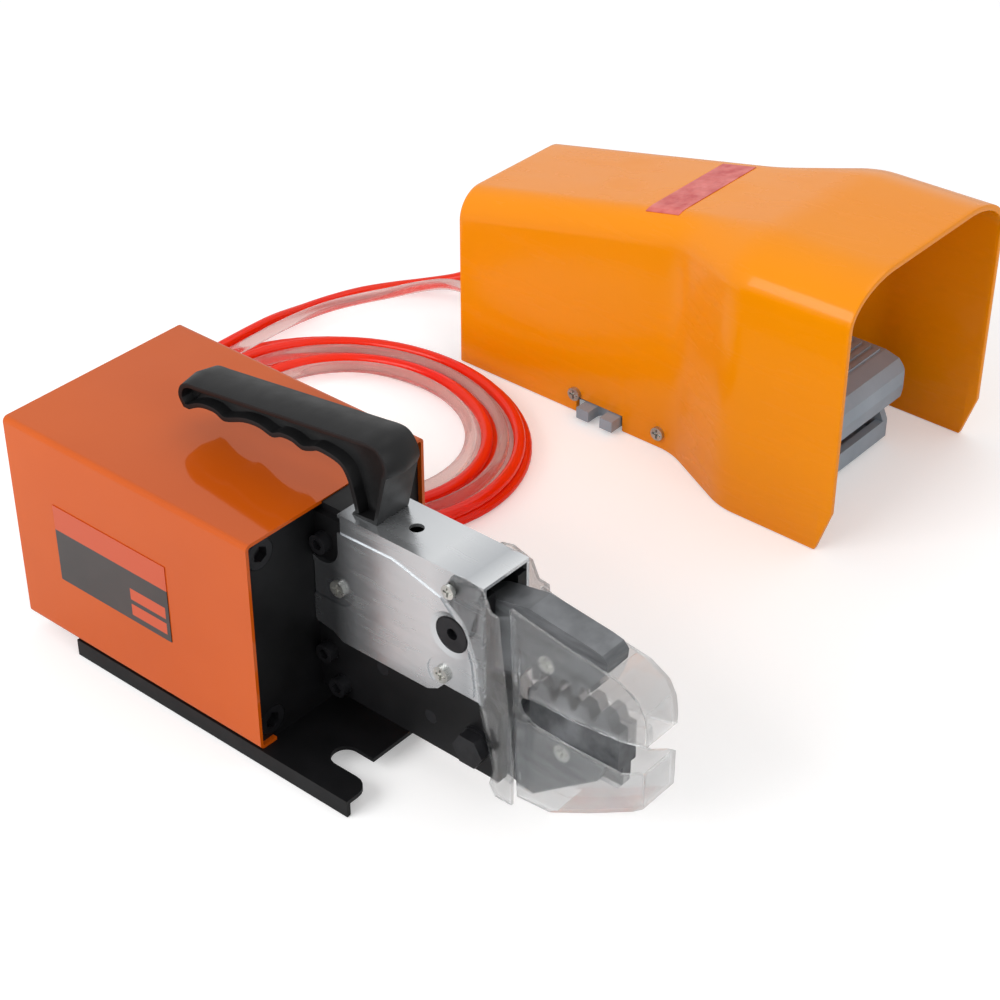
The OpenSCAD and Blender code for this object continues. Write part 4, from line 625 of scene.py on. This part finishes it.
# %% Plated sheet
plated = Finish("bright_zinc_sheet", metallic=0.85)
cover_low, cover_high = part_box("head_cover")
cover_share = plated.remap(plated.along(0), 0.0, 1.0, cover_low[0], cover_high[0])
# Painted reflection: the ramp's stops darken the zinc beside the housing and again before its front end,
# in place of mirrored black parts.
cover_painted_reflection = plated.ramp(cover_share, [
    (0.0, linear(128, 130, 133)), (0.12, linear(104, 106, 109)), (0.26, linear(192, 195, 198)),
    (0.7, linear(210, 212, 214)), (0.9, linear(180, 183, 186)), (1.0, linear(214, 216, 218))])
plated.colour(cover_painted_reflection)
plated.rough(plated.remap(plated.noise(40.0, 2.0, (1, 6, 6)), 0.2, 0.3, NOISE_LOW, NOISE_HIGH))
print("plated cover:", round((cover_high[0] - cover_low[0]) / MM), "mm long")

# %% Steel, brass and aluminium
dark_oxide = drifting(
    "black_oxide", linear(20, 20, 22), linear(40, 40, 43), scale=90.0, rough=(0.3, 0.45),
    metallic=0.4, specular=0.3)
zinc = drifting(
    "zinc_screw", linear(150, 150, 146), linear(205, 205, 200), scale=120.0, rough=(0.25, 0.4),
    metallic=0.9)
bright_steel = drifting(
    "ground_steel", linear(175, 176, 180), linear(205, 206, 210), scale=60.0, rough=(0.25, 0.38),
    metallic=0.95)
aluminium = drifting(
    "machined_aluminium", linear(185, 187, 190), linear(215, 217, 220), scale=40.0,
    rough=(0.3, 0.42), metallic=0.95)
brass = drifting(
    "plain_brass", linear(190, 150, 80), linear(215, 178, 105), scale=60.0, rough=(0.25, 0.4),
    metallic=0.95)
# Painted light: the blackened jaws are given a mid grey colour, which stands in for the clear guard's
# gloss veil over them.
jaw_steel = drifting(
    "blackened_jaw_steel_painted_veil", linear(84, 86, 88), linear(120, 122, 125), scale=55.0,
    rough=(0.32, 0.48), metallic=0.7, grain=500.0, stretch=(1, 1, 6))
die_steel = drifting(
    "blackened_die_steel", linear(44, 45, 47), linear(120, 122, 125), scale=70.0,
    rough=(0.28, 0.42), metallic=0.7)

# %% Rubber and moulded plastics
rubber = drifting(
    "matte_rubber", linear(20, 20, 20), linear(32, 32, 32), scale=60.0, rough=(0.7, 0.85),
    specular=0.2)
handle_black = drifting(
    "moulded_black", linear(10, 10, 11), linear(20, 20, 21), scale=45.0, rough=(0.4, 0.5),
    grain=1600.0, specular=0.25)
collet_blue = drifting(
    "collet_blue", linear(30, 60, 130), linear(40, 72, 145), scale=60.0, rough=(0.35, 0.5))

# %% [markdown]
# The label is a foil with an orange head strip, a dark field and two plain boxes. A picture could be laid
# on it, but rectangles are enough, each given by shares of the label's own length and height.

# %% Label
STRIP_SHARES = (-0.1, 1.1, 0.68, 1.1)
BOX_SHARES = [(0.66, 0.97, 0.29, 0.44), (0.66, 0.97, 0.08, 0.23)]
(label_x0, _, label_z0), (label_x1, _, label_z1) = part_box("label_plate")
label_black = Finish("blank_label_foil", coat=0.2)


def label_patch(x_low, x_high, z_low, z_high):
    """A rectangle given by shares of the label's length and height."""
    return label_black.patch(mix(label_x0, label_x1, x_low), mix(label_x0, label_x1, x_high),
                             mix(label_z0, label_z1, z_low), mix(label_z0, label_z1, z_high))


printed = label_patch(*STRIP_SHARES)
for box in BOX_SHARES:
    printed = label_black.math("MAXIMUM", printed, label_patch(*box))
label_field = label_black.ramp(
    label_black.noise(30.0), [(NOISE_LOW, linear(36, 30, 29)), (NOISE_HIGH, linear(50, 42, 40))])
label_black.colour(label_black.mix(printed, label_field, linear(192, 70, 20)))
label_black.rough(label_black.remap(label_black.noise(90.0), 0.3, 0.42))
print("label:", round((label_x1 - label_x0) / MM), "mm long")

# %% [markdown]
# The hood is dyed through and glossy. Scuffs could be cut into its colour or its shape. Here they are
# streaks of a duller gloss along it, which leave the colour as it is. The tape on its top is less glossy.

# %% Hood plastic and tape
hood_plastic = Finish("orange_yellow_moulding", coat=0.2, specular=0.12)
drift = hood_plastic.noise(6.0, 3.0)
hood_plastic.colour(
    hood_plastic.ramp(drift, [(0.25, linear(240, 140, 0)), (0.75, linear(246, 148, 1))]))
scuffs = hood_plastic.noise(60.0, 5.0, (0.25, 1.0, 2.2))
hood_plastic.rough(hood_plastic.remap(scuffs, 0.2, 0.34, from_low=0.35, from_high=0.7))
hood_plastic.bump(hood_plastic.noise(500.0, 2.0), strength=0.15, distance=0.00004)
tape = drifting(
    "worn_red_tape", linear(196, 62, 62), linear(226, 118, 110), scale=160.0, rough=(0.35, 0.5),
    grain=700.0)

# %% [markdown]
# Both hoses let light through. The orange-red one is dyed hard, and the clear one has only a pinkish
# tint. The guard is clear polycarbonate: most of what shows of it is its gloss. The real hoses are hollow
# and these are solid, so they would look like glass rods if they bent light as strongly as the real
# plastic. All three finishes bend it less, and two of them also let some light straight through.

# %% Clear finishes
def clear_finish(name, tones, spread, rough_scale, rough, clearness, bending, coat, specular=0.5):
    """A see-through finish: clearness from 0 to 1, and how strongly it bends light."""
    f = Finish(name, coat=coat, specular=specular)
    f.colour(f.ramp(f.noise(spread, 2.0), [(NOISE_LOW, tones[0]), (NOISE_HIGH, tones[1])]))
    f.rough(f.remap(f.noise(rough_scale), *rough))
    f.shader.inputs["Transmission Weight"].default_value = clearness
    f.shader.inputs["IOR"].default_value = bending
    return f


orange_tube = clear_finish(
    "orange_red_tube", (linear(255, 34, 4), linear(255, 58, 18)), spread=18.0, rough_scale=40.0,
    rough=(0.14, 0.24), clearness=0.3, bending=1.3, coat=0.1, specular=0.4)
clear_tube = clear_finish(
    "pinkish_clear_tube", (linear(255, 222, 216), linear(255, 238, 234)), spread=18.0,
    rough_scale=40.0, rough=(0.08, 0.16), clearness=0.9, bending=1.15, coat=0.1, specular=0.4)
clear_tube.shader.inputs["Alpha"].default_value = 0.75
guard_clear = clear_finish(
    "clear_polycarbonate", (linear(240, 243, 244), linear(249, 251, 252)), spread=12.0,
    rough_scale=80.0, rough=(0.04, 0.1), clearness=1.0, bending=1.25, coat=0.6)
guard_clear.shader.inputs["Alpha"].default_value = 0.55

# %% [markdown]
# The record names the finish that each measured node takes, so one table joins those names to the
# materials made above, and a loop hands them out. The new pieces are dressed one by one.

# %% Give every surface its finish
FINISHES = {
    "orange_paint": orange_paint, "label_black": label_black, "black_steel": black_paint,
    "dark_screw": dark_oxide, "cast_aluminium": aluminium, "brass_tube": brass,
    "seal_rubber": rubber, "bright_steel": bright_steel, "plated_steel": plated,
    "zinc_screw": zinc, "jaw_steel": jaw_steel, "die_steel": die_steel,
    "clear_guard": guard_clear, "black_plastic": handle_black, "collet_plastic": collet_blue,
    "orange_hose": orange_tube, "clear_hose": clear_tube, "hood_plastic": hood_plastic,
    "red_tape": tape, "grey_casting": grey_cast,
}


def dress(piece, slot_name):
    piece.data.materials.clear()
    piece.data.materials.append(FINISHES[slot_name].material)


for part in frame["record"]["subparts"]:
    dress(frame["nodes"][part["node"]], part["material_slot"])
dress(hood, "hood_plastic")
dress(handle, "black_plastic")
dress(orange_hose, "orange_hose")
dress(clear_hose, "clear_hose")
print(len(frame["nodes"]), "measured nodes dressed")

# %% [markdown]
# A white studio. More light would turn the floor white, but it would bleach the set too. So the floor
# glows a little for the camera alone, and the world is white for the camera and for gloss, but dimmer as
# a light. Large soft lamps light the near sides more than the tops, as in the photograph.

# %% Floor
WHITE = (1.0, 1.0, 1.0, 1.0)
PAPER = (0.86, 0.86, 0.86, 1.0)
PAPER_GLOW = 0.3
FLOOR_SIZE = 8.0
FLOOR_DROP = 0.0004
bpy.ops.mesh.primitive_plane_add(size=FLOOR_SIZE, location=(0.0, 0.0, 0.0))
floor = bpy.context.object
floor.name = "studio_floor"
for vertex in floor.data.vertices:
    vertex.co.z = -FLOOR_DROP
paper = bpy.data.materials.new("white_paper")
paper.use_nodes = True
tree = paper.node_tree
base = tree.nodes["Principled BSDF"]
base.inputs["Base Color"].default_value = PAPER
base.inputs["Roughness"].default_value = 0.9
base.inputs["Specular IOR Level"].default_value = 0.1
rays = tree.nodes.new("ShaderNodeLightPath")
seen = tree.nodes.new("ShaderNodeMath")
seen.operation = "MULTIPLY"
seen.inputs[1].default_value = PAPER_GLOW
tree.links.new(rays.outputs["Is Camera Ray"], seen.inputs[0])
base.inputs["Emission Color"].default_value = WHITE
tree.links.new(seen.outputs["Value"], base.inputs["Emission Strength"])
floor.data.materials.append(paper)

# %% World
SKY_LIGHT = 0.55
world = bpy.data.worlds.new("studio_world")
bpy.context.scene.world = world
world.use_nodes = True
sky_tree = world.node_tree
sky = sky_tree.nodes["Background"]
sky.inputs["Color"].default_value = WHITE
sky_rays = sky_tree.nodes.new("ShaderNodeLightPath")
sky_seen = sky_tree.nodes.new("ShaderNodeMath")
sky_seen.operation = "MAXIMUM"
sky_tree.links.new(sky_rays.outputs["Is Camera Ray"], sky_seen.inputs[0])
sky_tree.links.new(sky_rays.outputs["Is Glossy Ray"], sky_seen.inputs[1])
sky_level = sky_tree.nodes.new("ShaderNodeMapRange")
sky_level.inputs["To Min"].default_value = SKY_LIGHT
sky_level.inputs["To Max"].default_value = 1.0
sky_tree.links.new(sky_seen.outputs["Value"], sky_level.inputs["Value"])
sky_tree.links.new(sky_level.outputs["Result"], sky.inputs["Strength"])

# %% Lamps
AIM = (0.0, 0.0, 0.05)


def soft_lamp(name, place, width, height, power):
    """A rectangular lamp, turned to face the middle of the set. Places and sizes are in metres."""
    data = bpy.data.lights.new(name, "AREA")
    data.shape = "RECTANGLE"
    data.size = width
    data.size_y = height
    data.energy = power
    lamp = bpy.data.objects.new(name, data)
    bpy.context.scene.collection.objects.link(lamp)
    lamp.location = place
    away = [place[k] - AIM[k] for k in range(3)]
    flat = math.hypot(away[0], away[1])
    lamp.rotation_euler = (math.atan2(flat, away[2]), 0.0, math.atan2(away[0], -away[1]))
    print(name, "gives", power, "W")


soft_lamp("key_lamp", place=(-0.4, -1.4, 0.95), width=1.2, height=0.9, power=17.0)
soft_lamp("fill_lamp", place=(1.5, -0.4, 0.8), width=0.9, height=0.9, power=4.5)
soft_lamp("top_lamp", place=(0.1, 0.6, 1.6), width=1.3, height=1.0, power=4.0)

# %% [markdown]
# Last, the view layer is brought up to date.

# %% The end
bpy.context.view_layer.update()
